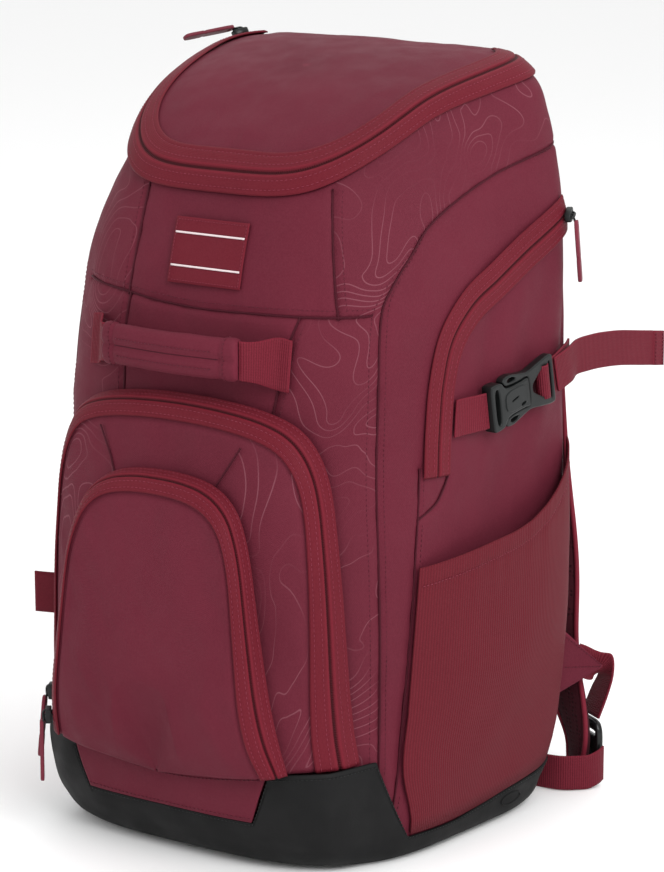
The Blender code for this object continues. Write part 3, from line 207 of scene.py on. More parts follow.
# How far the toe stands out of the wall, up the boot: share of its height, share of BOOT_BULGE
TOE_RISE = ((0.0, 0.10), (0.10, 0.38), (0.30, 0.82), (0.60, 1.02), (1.0, 1.10))
# How the crown of the large pocket fades towards its edge: share of its reach, share of the crown
CROWN_FADE = ((0.35, 1.0), (0.68, 0.8), (0.88, 0.3), (1.0, 0.0))
# Place of the lid's middle behind the axis, as a share of the mean reach
LID_CENTRE_SHARE = 0.12
# Steps of a pocket's outline from its right foot to its left
POCKET_STEPS = 24
# Rings of a pocket from its edge to its face: share of the gusset's inset, scale of the whole
# outline, share of the depth, share of the crown
POCKET_RINGS = (
    (0.00, 1.00, 0.00, 0.0),
    (0.18, 1.00, 0.52, 0.0),
    (0.55, 1.00, 0.84, 0.0),
    (1.00, 1.00, 1.00, 0.0),
    (1.60, 0.95, 1.00, 0.3),
    (1.00, 0.68, 1.00, 0.8),
    (1.00, 0.35, 1.00, 1.0),
)
ZIP_RINGS = 4
# Front edge of the side pocket: share of HEIGHT, then depth as a share of the mean reach
POCKET_FRONT_EDGE = ((0.0, -0.44), (0.05, -0.455), (0.12, -0.54), (0.20, -0.52), (0.40, -0.45))
POCKET_BACK_EDGE = ((0.0, 0.78), (0.05, 0.82), (0.10, 0.88), (0.18, 0.93), (0.50, 0.93))
POCKET_COLUMNS = (0.0, 0.05, 0.14, 0.28, 0.45, 0.62, 0.76, 0.87, 0.94, 0.975, 1.0)


def smooth(value):
    """0 below 0, 1 above 1 and smooth between them."""
    value = min(max(value, 0.0), 1.0)
    return value * value * (3.0 - 2.0 * value)


def mix(start, end, share):
    return start + (end - start) * share


@functools.cache
def knots_of(table, key, value):
    """Knots, values and slopes of two columns of a table."""
    knots = [row[key] for row in table]
    values = [row[value] for row in table]
    return knots, values, [float(slope) for slope in np.gradient(values, knots)]


def curve(table, at, key=0, value=1):
    """Smooth curve through two columns of a table, held level past its ends."""
    knots, values, slopes = knots_of(tuple(table), key, value)
    at = min(max(at, knots[0]), knots[-1])
    index = min(max(bisect.bisect_right(knots, at) - 1, 0), len(knots) - 2)
    width = knots[index + 1] - knots[index]
    t = (at - knots[index]) / width
    start = (2 * t**3 - 3 * t**2 + 1) * values[index]
    end = (-2 * t**3 + 3 * t**2) * values[index + 1]
    bend = (t**3 - 2 * t**2 + t) * slopes[index] + (t**3 - t**2) * slopes[index + 1]
    return start + end + bend * width


def numbered(table):
    """The rows of a table, each with its share of the way through put first."""
    return [(index / (len(table) - 1), *row) for index, row in enumerate(table)]


def mean_reach():
    return (FRONT_REACH + BACK_REACH) / 2


@functools.cache
def section(height):
    """Sizes of the horizontal section at a height."""
    share = height / HEIGHT
    shares = {name: curve(SECTIONS, share, 0, index)
              for index, name in enumerate(SECTION_COLUMNS) if index}
    return {
        "front_width": shares["front_width"] * WIDTH / 2,
        "back_width": shares["back_width"] * WIDTH / 2,
        "front": -shares["front_reach"] * FRONT_REACH,
        "back": shares["back_reach"] * BACK_REACH,
        "front_square": shares["front_square"],
        "back_square": shares["back_square"],
    }


def half_width(sizes, y):
    """Half-width of a section where it crosses y, before its corners are rounded."""
    share = (y - sizes["front"]) / (sizes["back"] - sizes["front"])
    return mix(sizes["front_width"], sizes["back_width"], share)


def wall(angle, height, out=0.0, at_height=None):
    """Point on the main wall. Angle 0 is the front, and a quarter turn is the right side."""
    sizes = section(height if at_height is None else at_height)
    forward = math.cos(angle) > 0
    power = sizes["front_square"] if forward else sizes["back_square"]
    reach = sizes["front"] - out if forward else sizes["back"] + out
    across = math.sin(angle)
    y = reach * abs(math.cos(angle)) ** (2 / power)
    x = math.copysign(abs(across) ** (2 / power), across) * (half_width(sizes, y) + out)
    return Vector((x, y, height))


def front_y(x, height, out=0.0):
    """Depth of the front wall at a place across and a height."""
    sizes = section(height)
    power = sizes["front_square"]
    y = sizes["front"]
    for _ in range(12):
        share = min(abs(x) / half_width(sizes, y), 0.999)
        y = sizes["front"] * (1 - share**power) ** (1 / power)
    return y - out


def back_y(x, height, out=0.0):
    """Depth of the back wall at a place across and a height."""
    sizes = section(height)
    power = sizes["back_square"]
    share = min(abs(x) / sizes["back_width"], 0.999)
    return sizes["back"] * (1 - share**power) ** (1 / power) + out


def side_point(y, height, out, side):
    """Point on a side wall at a depth and a height. side is 1 on the right, -1 on the left."""
    sizes = section(height)
    power, reach = sizes["front_square"], sizes["front"]
    if y > 0:
        power, reach = sizes["back_square"], sizes["back"]
    share = min(abs(y / reach), 0.999)
    x = half_width(sizes, y) * (1 - share**power) ** (1 / power) + out
    return Vector((side * x, y, height))


@functools.cache
def rim_height(angle):
    """Height at which the wall meets the plane of the lid's edge."""
    height = HEIGHT * 0.92
    for _ in range(40):
        y = wall(angle, height).y
        height = mix(height, curve(LID_EDGE, y / mean_reach()) * HEIGHT, 0.5)
    return height


def zip_share(angle):
    """1 where the lid has its zip, 0 at the hinge across the back."""
    turn = abs(math.remainder(angle, math.tau))
    return 1 - smooth((turn - LID_ZIP_END) / (LID_HINGE_START - LID_ZIP_END))


def frame_at(origin, along, normal):
    """Matrix whose X runs along, whose Z is the normal, placed at the origin."""
    along = along.normalized()
    across = normal.cross(along).normalized()
    upright = along.cross(across).normalized()
    turned = Matrix((along, across, upright)).transposed().to_4x4()
    return Matrix.Translation(origin) @ turned


def mid_point(point, share):
    """The point drawn towards the upright axis."""
    return Vector((point.x * share, point.y * share, point.z))


def lid_point(angle, share, lift=0.0, edge_angle_inset=None):
    """Point on the lid: share 1 is its edge, and 0 is its middle."""
    inset = LID_INSET if edge_angle_inset is None else edge_angle_inset
    inset = mix(SEAT_GAP, inset, zip_share(angle))
    rim = wall(angle, rim_height(angle))
    centre = Vector((0, LID_CENTRE_SHARE * mean_reach(), rim.z))
    spoke = Vector((rim.x, rim.y - centre.y))
    length = max(spoke.length - inset, 0.0) * share
    place = spoke.normalized() * length
    y = centre.y + place.y
    height = curve(LID_EDGE, y / mean_reach()) * HEIGHT
    rise = LID_DOME * (1 - (length / spoke.length) ** 2)
    base = LID_WALL + SEAT_GAP
    return Vector((place.x, y, height + rise + base + lift))


def boot_line(x):
    """Height of the seam between the front toe and the pockets."""
    share = smooth(abs(x) / LARGE_HALF_WIDTH)
    return mix(BOOT_MIDDLE_HEIGHT, BOOT_CORNER_HEIGHT, share)


def toe_forward(angle, height):
    """How far the toe stands ahead of the main wall."""
    turn = abs(math.remainder(angle, math.tau))
    side_fade = smooth((SEAM_ANGLE - turn) / math.radians(13))
    return BOOT_BULGE * side_fade * curve(TOE_RISE, height / BOOT_CORNER_HEIGHT)


def toe_point(angle, height, out):
    point = wall(angle, height, out)
    point.y -= toe_forward(angle, height)
    return point


def angle_at(x, height):
    """Angle at which the wall stands at a place across the front."""
    sizes = section(height)
    share = min(abs(x) / half_width(sizes, front_y(x, height)), 1.0)
    return math.copysign(math.asin(share ** (sizes["front_square"] / 2)), x)


def boot_top(angle):
    """Height of the boot's top edge round the base."""
    turn = abs(math.remainder(angle, math.tau))
    notch_foot = angle_at(BAND_HALF_WIDTH, BOOT_NOTCH_FLOOR)
    notch_head = angle_at(BAND_HALF_WIDTH + BAND_SLANT, BOOT_MIDDLE_HEIGHT)
    seam_head = boot_line(wall(SEAM_ANGLE, BOOT_CORNER_HEIGHT).x)
    side_foot = curve(BOOT_SIDE_EDGE, wall(turn, BOOT_NOTCH_FLOOR).y / mean_reach()) * HEIGHT
    if turn <= notch_foot:
        return BOOT_NOTCH_FLOOR
    if turn <= notch_head:
        share = (turn - notch_foot) / (notch_head - notch_foot)
        head = boot_line(BAND_HALF_WIDTH + BAND_SLANT) - SEAT_GAP
        return mix(BOOT_NOTCH_FLOOR, head, share)
    if turn <= SEAM_ANGLE:
        return boot_line(wall(turn, BOOT_MIDDLE_HEIGHT).x) - SEAT_GAP
    if turn <= SEAM_FOOT_ANGLE:
        share = (turn - SEAM_ANGLE) / (SEAM_FOOT_ANGLE - SEAM_ANGLE)
        return mix(seam_head - SEAT_GAP, side_foot, share)
    return side_foot


def boot_angles():
    """Even steps round the base, with the notch and the seam met exactly."""
    keys = [angle_at(BAND_HALF_WIDTH, BOOT_NOTCH_FLOOR),
            angle_at(BAND_HALF_WIDTH + BAND_SLANT, BOOT_MIDDLE_HEIGHT),
            SEAM_ANGLE, SEAM_FOOT_ANGLE]
    steps = [math.radians(degree) for degree in range(0, 181, 8)]
    clear = math.radians(3)
    steps = [step for step in steps if all(abs(step - key) > clear for key in keys)]
    half = sorted(steps + keys)
    right = [step for step in half if 0 < step < math.pi - clear / 4]
    back = [math.pi] if half[-1] > math.pi - clear / 4 else []
    return [0.0, *right, *back, *[-step for step in reversed(right)]]


def arch(table, half, top, share, foot):
    """Point of a pocket outline. share runs 0 to 1 from the right foot over to the left foot."""
    place = 1 - abs(2 * share - 1)
    knots = numbered(table)
    x = curve(knots, place, 0, 1) * half * (1 if share < 0.5 else -1)
    rise = curve(knots, place, 0, 2)
    low = foot(x)
    return Vector((x, mix(low, top, rise)))


def swell(table, height, top):
    """How much of its depth a pocket keeps at a height."""
    return curve(table, (height - BOOT_MIDDLE_HEIGHT) / (top - BOOT_MIDDLE_HEIGHT))


def pocket_rows(table, half, top, foot, base_y, depth, crown, inset, swells):
    """Rings of a pocket shell: the edge on its base, the gusset, and the crowned face."""
    places = [index / POCKET_STEPS for index in range(POCKET_STEPS + 1)]
    outline = [arch(table, half, top, place, foot) for place in places]
    centre = Vector((0.0, foot(0.0)))
    rows = []
    for inset_share, scale, depth_share, crown_share in POCKET_RINGS:
        row = []
        for point in outline:
            spoke = point - centre
            length = spoke.length
            drawn = centre + spoke * ((length - inset * inset_share) / length) * scale
            drawn.y = max(drawn.y, foot(drawn.x))
            keep = swell(swells, drawn.y, top)
            ahead = (depth * depth_share + crown * crown_share) * keep
            row.append(Vector((drawn.x, base_y(drawn.x, drawn.y) - ahead, drawn.y)))
        rows.append(row)
    middle = foot(0.0)
    ahead = (depth + crown) * swell(swells, middle, top)
    rows.append([Vector((0, base_y(0, middle) - ahead, middle))])
    return rows


def large_face_y(x, height):
    """Depth of the large pocket's face, which the small pocket is sewn to."""
    keep = swell(POCKET_SWELL, height, LARGE_TOP)
    reach = LARGE_TOP - BOOT_MIDDLE_HEIGHT
    spread = max(abs(x) / LARGE_HALF_WIDTH, (height - BOOT_MIDDLE_HEIGHT) / reach)
    crown = LARGE_CROWN * curve(CROWN_FADE, spread)
    return front_y(x, height, SKIN_GAP + POCKET_WALL) - (LARGE_DEPTH + crown) * keep


def handle_axis(share):
    """Centre of the grip, from its left end to its right end."""
    x = HANDLE_CENTRE + (share - 0.5) * HANDLE_LENGTH
    bow = mix(0.72, 1.0, math.sin(math.pi * share))
    y = front_y(x, HANDLE_HEIGHT) - HANDLE_STANDOFF * bow - HANDLE_THICK / 2
    return Vector((x, y, HANDLE_HEIGHT))


def side_name(base, side):
    return base + ("_right" if side > 0 else "_left")


def side_zip_axis(share):
    """Depth and height of the side zip's centre line, from its foot to its back end."""
    knots = numbered(SIDE_ZIP_PATH)
    return Vector((curve(knots, share, 0, 1) * mean_reach(), curve(knots, share, 0, 2) * HEIGHT))


def strap_height(y):
    return STRAP_HEIGHT + curve(STRAP_PATH, y / mean_reach()) * STRAP_WIDTH


def strap_row(y, out, side):
    """Three points across the side strap, square to its run."""
    reach = STRAP_WIDTH / 2
    run = Vector((2 * reach, strap_height(y + reach) - strap_height(y - reach))).normalized()
    row = []
    for share in (-1, 0, 1):
        shift = Vector((-run.y, run.x)) * reach * share
        row.append(side_point(y + shift.x, strap_height(y) + shift.y, out, side))
    return row


def buckle_frame(side):
    """Frame at the fastened end of the female half: X along the strap, Z off the wall."""
    start = side_point(BUCKLE_START_Y, strap_height(BUCKLE_START_Y), 0.0, side)
    finish_y = BUCKLE_START_Y + BUCKLE_LENGTH
    finish = side_point(finish_y, strap_height(finish_y), 0.0, side)
    along = finish - start
    normal = along.cross(Vector((0, 0, 1))) * side
    place = frame_at(start, along, normal)
    lift = SKIN_GAP * 2 + BUCKLE_THICK / 2
    return place @ Matrix.Translation((0, 0, lift))


def zip_inner_edge(height):
    """Depth of the side zip's inner edge at a height, where the strap starts."""
    best = None
    for index in range(41):
        share = index / 80
        here = side_zip_axis(share)
        step = side_zip_axis(share + 0.02) - here
        inner = here + Vector((step.y, -step.x)).normalized() * SIDE_ZIP_WIDTH / 2
        if best is None or abs(inner.y - height) < abs(best.y - height):
            best = inner
    return best.x


def buckle_edge(side, along):
    """Three points across an end of the buckle, at its mid thickness."""
    place = buckle_frame(side)
    return [place @ Vector((along, side * share * STRAP_WIDTH / 2, -STRAP_WALL / 2))
            for share in (-1, 0, 1)]


def panel_face(x, height, out):
    return Vector((x, back_y(x, height, out), height))


def shoulder_axis(share):
    knots = numbered(SHOULDER_PATH)
    x = curve(knots, share, 0, 1) * WIDTH / 2
    height = curve(knots, share, 0, 2) * HEIGHT
    out = SKIN_GAP * 2 + PANEL_THICK + curve(knots, share, 0, 3) * SHOULDER_STANDOFF
    return Vector((x, back_y(0.0, height) + out, height))


def wing_tip(side):
    middle = mix(WING_BOTTOM, WING_TOP, 0.37)
    root = side_point(BACK_REACH * WING_ROOT_SHARE, middle, SKIN_GAP, side)
    return root + Vector((side * WING_REACH * 0.71, WING_REACH, 0))


def wing_corners(side):
    top = side_point(BACK_REACH * WING_ROOT_SHARE, WING_TOP, SKIN_GAP, side)
    foot = side_point(BACK_REACH * WING_ROOT_SHARE, WING_BOTTOM, SKIN_GAP, side)
    return top, foot, wing_tip(side)


def from_tip(side, out, back, rise):
    """Point measured from the wing's tip in strap widths."""
    return wing_tip(side) + Vector((side * out, back, rise)) * STRAP_WIDTH


def lock_frame(side):
    """Frame of the ladder lock: X up, Y across, hung from the end of the lower webbing."""
    *outer, back, rise, low = LOWER_WEB_PATH[-1]
    outer, inner = from_tip(side, *outer), from_tip(side, back, rise, low)
    across = (outer - inner).normalized()
    centre = (outer + inner) / 2 - Vector((0, 0, LOCK_TALL / 2 + SEAT_GAP))
    return frame_at(centre, Vector((0, 0, 1)), Vector((0, 0, 1)).cross(across))


# Mesh tools. The centres are points inside the bag, from which the outer side of a cloth is told

BAG_CENTRE = (0, 0, 0.25)
BOOT_CENTRE = (0, 0, 0.2)
POCKET_CENTRE = (0, 0, 0.15)
SIDE_POCKET_CENTRE = (0, 0, 0.12)
WING_CENTRE = (0, 0, 0.1)
LONG_PITCH = 0.0030
SHORT_PITCH = 0.0026


def spline(grid, steps, axis):
    """The grid with steps points for each old one along an axis, on Catmull-Rom curves."""
    points = np.moveaxis(grid, axis, 0)
    before = 2 * points[:1] - points[1:2]
    after = 2 * points[-1:] - points[-2:-1]
    extended = np.concatenate([before, points, after])
    made = []
    for index in range(len(points) - 1):
        a, b, c, d = extended[index:index + 4]
        for step in range(steps):
            t = step / steps
            made.append(0.5 * ((2 * b) + (c - a) * t + (2 * a - 5 * b + 4 * c - d) * t * t
                               + (3 * b - a - 3 * c + d) * t**3))
    made.append(points[-1])
    return np.moveaxis(np.array(made), 0, axis)


def as_grid(rows):
    """Array of points from rows of vectors."""
    return np.array([[tuple(point) for point in row] for row in rows])


def dense(rows, down, over):
    """Finer grid through the same points."""
    return spline(spline(as_grid(rows), down, 0), over, 1)


def run_along(points):
    """Distance from the first point to each one along a line."""
    return np.concatenate([[0.0], np.cumsum(np.linalg.norm(np.diff(points, axis=0), axis=1))])


def lengths(grid, axis):
    """Mean distance run along an axis, one number for each place on it."""
    steps = np.linalg.norm(np.diff(grid, axis=axis), axis=2)
    mean = steps.mean(axis=1 - axis)
    return np.concatenate([[0.0], np.cumsum(mean)])


def each_row(values, grid):
    """One value for each row of a grid, given to all the points of the row."""
    return np.asarray(values)[:, None] + np.zeros(grid.shape[:2])


def each_column(values, grid):
    """One value for each column of a grid, given to all the points of the column."""
    return np.asarray(values)[None, :] + np.zeros(grid.shape[:2])


def outward(grid, centre=BAG_CENTRE, wrap=False):
    """Unit normals of a grid, turned away from the centre."""
    down = np.gradient(grid, axis=0)
    if wrap:
        over = (np.roll(grid, -1, axis=1) - np.roll(grid, 1, axis=1)) / 2
    else:
        over = np.gradient(grid, axis=1)
    normal = np.cross(down, over)
    size = np.linalg.norm(normal, axis=2, keepdims=True)
    normal = normal / np.maximum(size, 1e-12)
    if (normal * (grid - np.array(centre))).sum() < 0:
        normal = -normal
    return normal


def rumple(grid, size, seed, octaves=3, stretch=(1, 1, 1)):
    """Smooth random number between about -1 and 1 at each point of a grid."""
    shift = Vector((seed * 7.31, seed * 3.17, seed * 5.53))
    flat = grid.reshape(-1, 3) / np.array(stretch) / size
    values = [noise.fractal(Vector(point) + shift, 1.0, 2.0, octaves) for point in flat]
    return np.array(values).reshape(grid.shape[:2])


def distance_to(grid, line):
    """Distance from each point of a grid to a line of points, and how far along it that is."""
    points = grid.reshape(-1, grid.shape[-1])
    best = np.full(len(points), 1e9)
    along = np.zeros(len(points))
    run = 0.0
    line = np.array(line, float)
    for start, end in zip(line[:-1], line[1:]):
        step = end - start
        size = np.linalg.norm(step)
        share = np.clip(((points - start) @ step) / size**2, 0, 1)
        gap = np.linalg.norm(points - start - share[:, None] * step, axis=1)
        closer = gap < best
        best = np.where(closer, gap, best)
        along = np.where(closer, run + share * size, along)
        run += size
    return best.reshape(grid.shape[:2]), along.reshape(grid.shape[:2])


def smooth_step(values, low, high):
    """0 below low, 1 above high and smooth between them, for arrays."""
    t = np.clip((values - low) / (high - low), 0, 1)
    return t * t * (3 - 2 * t)


def dress(obj, nodes):
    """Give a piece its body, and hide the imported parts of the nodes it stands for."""
    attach(obj, "root")
    if nodes:
        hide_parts(*nodes)
    return obj


def make(name, grid, material_name, nodes=(), thick=0.0, out=True, wrap=False,
         cap=False, centre=BAG_CENTRE, fields=None, along=1):
    """Object over a grid of points, with its place on the cloth in metres as its map."""
    rows, columns = grid.shape[:2]
    vertices = grid.reshape(-1, 3)
    faces, maps = [], []
    u, v = lengths(grid, 1), lengths(grid, 0)
    if wrap:
        closing = np.linalg.norm(grid[:, 0] - grid[:, -1], axis=1).mean()
        u = np.append(u, u[-1] + closing)
    for row in range(rows - 1):
        for column in range(columns if wrap else columns - 1):
            over = (column + 1) % columns
            faces.append((row * columns + column, row * columns + over,
                          (row + 1) * columns + over, (row + 1) * columns + column))
            maps.append(((u[column], v[row]), (u[column + 1], v[row]),
                         (u[column + 1], v[row + 1]), (u[column], v[row + 1])))
    normal = outward(grid, centre, wrap)
    row, column = min(rows // 2, rows - 2), columns // 3
    face = faces[row * (columns if wrap else columns - 1) + column]
    a, b, c = (vertices[index] for index in face[:3])
    if np.dot(np.cross(b - a, c - a), normal[row, column]) < 0:
        faces = [tuple(reversed(face)) for face in faces]
        maps = [tuple(reversed(corners)) for corners in maps]
    if cap:
        last = [(rows - 1) * columns + column for column in range(columns)]
        ends = [(u[column], v[-1]) for column in range(columns)]
        a, b, c = (vertices[last[index]] for index in (0, columns // 3, 2 * columns // 3))
        if np.dot(np.cross(b - a, c - a), np.mean(grid[-1], axis=0) - np.array(centre)) < 0:
            last.reverse()
            ends.reverse()
        faces.append(tuple(last))
        maps.append(tuple(ends))
    mesh = bpy.data.meshes.new(name)
    mesh.from_pydata([tuple(point) for point in vertices], [], faces)
    layer = mesh.uv_layers.new(name="cloth")
    flat = [value for corners in maps for place in corners
            for value in (place if along == 1 else (place[1], place[0]))]
    layer.data.foreach_set("uv", flat)
    border = np.minimum(v, v[-1] - v)[:, None] + np.zeros((rows, columns))
    if not wrap:
        border = np.minimum(border, np.minimum(u, u[-1] - u)[None, :columns])
    every = {"border": border}
    every.update(fields or {})
    for field_name, values in every.items():
        attribute = mesh.attributes.new(field_name, "FLOAT", "POINT")
        attribute.data.foreach_set("value", np.asarray(values, float).ravel())
    mesh.shade_smooth()
    mesh.materials.append(M[material_name])
    obj = bpy.data.objects.new(name, mesh)
    bpy.context.collection.objects.link(obj)
    if thick:
        wall_modifier = obj.modifiers.new("wall", "SOLIDIFY")
        wall_modifier.thickness = thick
        wall_modifier.offset = 1.0 if out else -1.0
        wall_modifier.use_even_offset = False
    return dress(obj, nodes)


def mesh_object(name, vertices, faces, material_name, nodes=()):
    mesh = bpy.data.meshes.new(name)
    mesh.from_pydata([tuple(point) for point in vertices], [], faces)
    mesh.shade_smooth()
    mesh.materials.append(M[material_name])
    obj = bpy.data.objects.new(name, mesh)
    bpy.context.collection.objects.link(obj)
    return dress(obj, nodes)


def face_outwards(obj, close=False):
    """Turn the faces of a mesh outwards, with its open ends closed first if asked."""
    shape = bmesh.new()
    shape.from_mesh(obj.data)
    if close:
        rims = [edge for edge in shape.edges if edge.is_boundary]
        bmesh.ops.holes_fill(shape, edges=rims, sides=0)
    bmesh.ops.recalc_face_normals(shape, faces=shape.faces)
    shape.to_mesh(obj.data)
    shape.free()


def tube(name, lines, radius, material_name, sides=6, nodes=(), closed=False):
    """Thin round cords along lines of points, joined in one object."""
    vertices, faces = [], []
    for line in lines:
        line = [Vector(point) for point in line]
        count = len(line)
        up = Vector((0.31, 0.17, 0.93))
        first = len(vertices)
        for index, point in enumerate(line):
            ahead = line[(index + 1) % count] if closed else line[min(index + 1, count - 1)]
            behind = line[index - 1] if closed or index else line[0]
            run = (ahead - behind).normalized()
            across = run.cross(up).normalized()
            up = across.cross(run).normalized()
            for side in range(sides):
                turn = math.tau * side / sides
                vertices.append(point + (across * math.cos(turn) + up * math.sin(turn)) * radius)
        for index in range(count if closed else count - 1):
            for side in range(sides):
                a = first + index * sides + side
                b = first + index * sides + (side + 1) % sides
                c = first + (index + 1) % count * sides + (side + 1) % sides
                d = first + (index + 1) % count * sides + side
                faces.append((a, b, c, d))
        if not closed:
            faces.append(tuple(first + side for side in reversed(range(sides))))
            faces.append(tuple(first + (count - 1) * sides + side for side in range(sides)))
    return mesh_object(name, vertices, faces, material_name, nodes)


def stitches(name, lines, material_name="thread", pitch=0.0034, share=0.68,
             radius=0.00032):
    """Rows of single stitches. A line is a list of points and their normals."""
    vertices, faces = [], []
    for line in lines:
        points = np.array([tuple(point) for point, _ in line])
        ups = np.array([tuple(normal) for _, normal in line])
        run = run_along(points)
        count = int(run[-1] / pitch)
        for index in range(count):
            centre = (index + 0.5) * pitch
            places = []
            for shift in (-0.5, -0.3, 0.3, 0.5):
                at = centre + shift * share * pitch
                places.append(np.array([np.interp(at, run, points[:, axis]) for axis in range(3)]))
            up = np.array([np.interp(centre, run, ups[:, axis]) for axis in range(3)])
            up /= np.linalg.norm(up)
            along = places[3] - places[0]
            across = np.cross(along, up)
            across /= np.linalg.norm(across)
            first = len(vertices)
            vertices.append(places[0] - up * radius * 0.6)
            for place in places[1:3]:
                for turn in range(5):
                    angle = math.tau * turn / 5
                    vertices.append(place + across * math.cos(angle) * radius
                                    + up * (math.sin(angle) * radius + radius * 0.2))
            vertices.append(places[3] - up * radius * 0.6)
            for turn in range(5):
                after = (turn + 1) % 5
                faces.append((first, first + 1 + after, first + 1 + turn))
                faces.append((first + 1 + turn, first + 1 + after, first + 6 + after, first + 6 + turn))
                faces.append((first + 11, first + 6 + turn, first + 6 + after))
    return mesh_object(name, vertices, faces, material_name, ())


def band_profile(share):
    """Height over a zip band, in millimetres: two folded lips with the coil between them."""
    edge = min(share, 1 - share)
    rise = 0.95 * smooth(edge / 0.030)
    rise -= 0.28 * math.exp(-(((edge - 0.115) / 0.018) ** 2))
    rise += 0.30 * math.exp(-(((edge - 0.40) / 0.055) ** 2))
    rise -= 1.05 * smooth((edge - 0.445) / 0.035)
    return rise


def zip_band(name, base, node_name, centre=BAG_CENTRE, lift=SKIN_GAP, ends=True):
    """Band of two tape flaps over a base grid whose rows run across and columns along it."""
    shares = [0, 0.008, 0.02, 0.035, 0.06, 0.09, 0.105, 0.125, 0.15, 0.19, 0.25, 0.32, 0.37, 0.41, 0.435,
              0.455, 0.47, 0.485]
    shares = shares + [0.5] + [1 - share for share in reversed(shares)]
    run = lengths(base, 0)
    run = run / run[-1]
    rows = []
    for share in shares:
        at = np.interp(share, run, np.arange(len(run)))
        low = int(min(math.floor(at), len(run) - 2))
        rows.append(base[low] * (1 - (at - low)) + base[low + 1] * (at - low))
    grid = np.array(rows)
    normal = outward(grid, centre)
    height = each_row([band_profile(share) * 0.001 for share in shares], grid)
    if ends:
        u = lengths(grid, 1)
        height = height * smooth_step(np.minimum(u, u[-1] - u), -0.0005, 0.0015)
    wavy = rumple(grid, 0.03, 3.0, 2) * 0.00022
    top = grid + normal * (height + wavy + lift)[..., None]
    across = each_row(shares, grid)
    make(name, top, "zip", [node_name], ZIP_WALL * 0.8, out=False, centre=centre,
         fields={"across": across})
    lines = []
    for share in (0.115, 0.885, 0.33, 0.67):
        index = int(np.argmin(np.abs(np.array(shares) - share)))
        lines.append(list(zip(top[index], normal[index])))
    stitches(name + "_stitches", lines, "thread", radius=FINE_STITCH)


# Materials: the pitch of each weave in metres, and base colours

TAPE_RIB = 0.0011
ZIP_TOOTH = 0.0016
WEB_RIB = 0.0016
WEB_PLY = 0.0021
KNIT_RIB = 0.0022
KNIT_LOOP = 0.0014
CLOTH = (0.098, 0.0112, 0.0225)
ZIP = (0.102, 0.0070, 0.0142)
WEB = (0.122, 0.0105, 0.0205)
SPECULAR = 0.09
RUBBER_SPECULAR = 0.16
GLOSSY_SPECULAR = 0.26
FINE_GRAIN = 1000.0


def link_in(tree, socket, value):
    if isinstance(value, bpy.types.NodeSocket):
        tree.links.new(value, socket)
    else:
        socket.default_value = value


def node(tree, kind, *values, **settings):
    """New shader node, its settings, and its first inputs in order. None leaves an input alone."""
    made = tree.nodes.new(kind)
    for name, value in settings.items():
        setattr(made, name, value)
    sockets = [socket for socket in made.inputs if socket.enabled]
    for socket, value in zip(sockets, values):
        if value is not None:
            link_in(tree, socket, value)
    return made.outputs[0]


def maths(tree, operation, *values):
    return node(tree, "ShaderNodeMath", *values, operation=operation)


def ramp(tree, value, low, high, start=0.0, end=1.0):
    """Value carried smoothly from low..high to start..end."""
    return node(tree, "ShaderNodeMapRange", value, low, high, start, end,
                interpolation_type="SMOOTHSTEP")


def blend_colour(tree, share, first, second):
    made = tree.nodes.new("ShaderNodeMix")
    made.data_type = "RGBA"
    link_in(tree, made.inputs[0], share)
    link_in(tree, made.inputs[6], first)
    link_in(tree, made.inputs[7], second)
    return made.outputs[2]


def field(tree, name):
    made = tree.nodes.new("ShaderNodeAttribute")
    made.attribute_name = name
    return made.outputs["Fac"]


def flat_place(tree):
    """Place on the cloth in metres: along, across."""
    made = tree.nodes.new("ShaderNodeUVMap")
    made.uv_map = "cloth"
    split = tree.nodes.new("ShaderNodeSeparateXYZ")
    tree.links.new(made.outputs[0], split.inputs[0])
    return split.outputs[0], split.outputs[1]


def noise_at(tree, place, scale, detail=2.0, roughness=0.5, distortion=0.0):
    made = tree.nodes.new("ShaderNodeTexNoise")
    if place is not None:
        tree.links.new(place, made.inputs["Vector"])
    made.inputs["Scale"].default_value = scale
    made.inputs["Detail"].default_value = detail
    made.inputs["Roughness"].default_value = roughness
    made.inputs["Distortion"].default_value = distortion
    return made.outputs["Fac"]


def object_place(tree):
    return tree.nodes.new("ShaderNodeTexCoord").outputs["Object"]


def base_material(name, roughness, sheen=0.0, tint=(1, 1, 1, 1)):
    made = bpy.data.materials.new(name)
    made.use_nodes = True
    shader = made.node_tree.nodes["Principled BSDF"]
    shader.inputs["Roughness"].default_value = roughness
    shader.inputs["Sheen Weight"].default_value = sheen
    shader.inputs["Sheen Roughness"].default_value = 0.45
    shader.inputs["Sheen Tint"].default_value = tint
    shader.inputs["Specular IOR Level"].default_value = SPECULAR
    return made, made.node_tree, shader


def bump(tree, shader, height, distance, strength=0.6):
    made = tree.nodes.new("ShaderNodeBump")
    made.inputs["Strength"].default_value = strength
    made.inputs["Distance"].default_value = distance
    tree.links.new(height, made.inputs["Height"])
    tree.links.new(made.outputs[0], shader.inputs["Normal"])


def tone(colour, gain):
    return tuple(channel * gain for channel in colour) + (1.0,)


def wave(tree, value, pitch):
    """Sine of a length, once up and down in each pitch."""
    return maths(tree, "SINE", maths(tree, "MULTIPLY", value, math.tau / pitch))


def weave_height(tree, along, across, pitch):
    """Plain weave: threads over and under in both directions."""
    return maths(tree, "MULTIPLY", wave(tree, along, pitch), wave(tree, across, pitch))


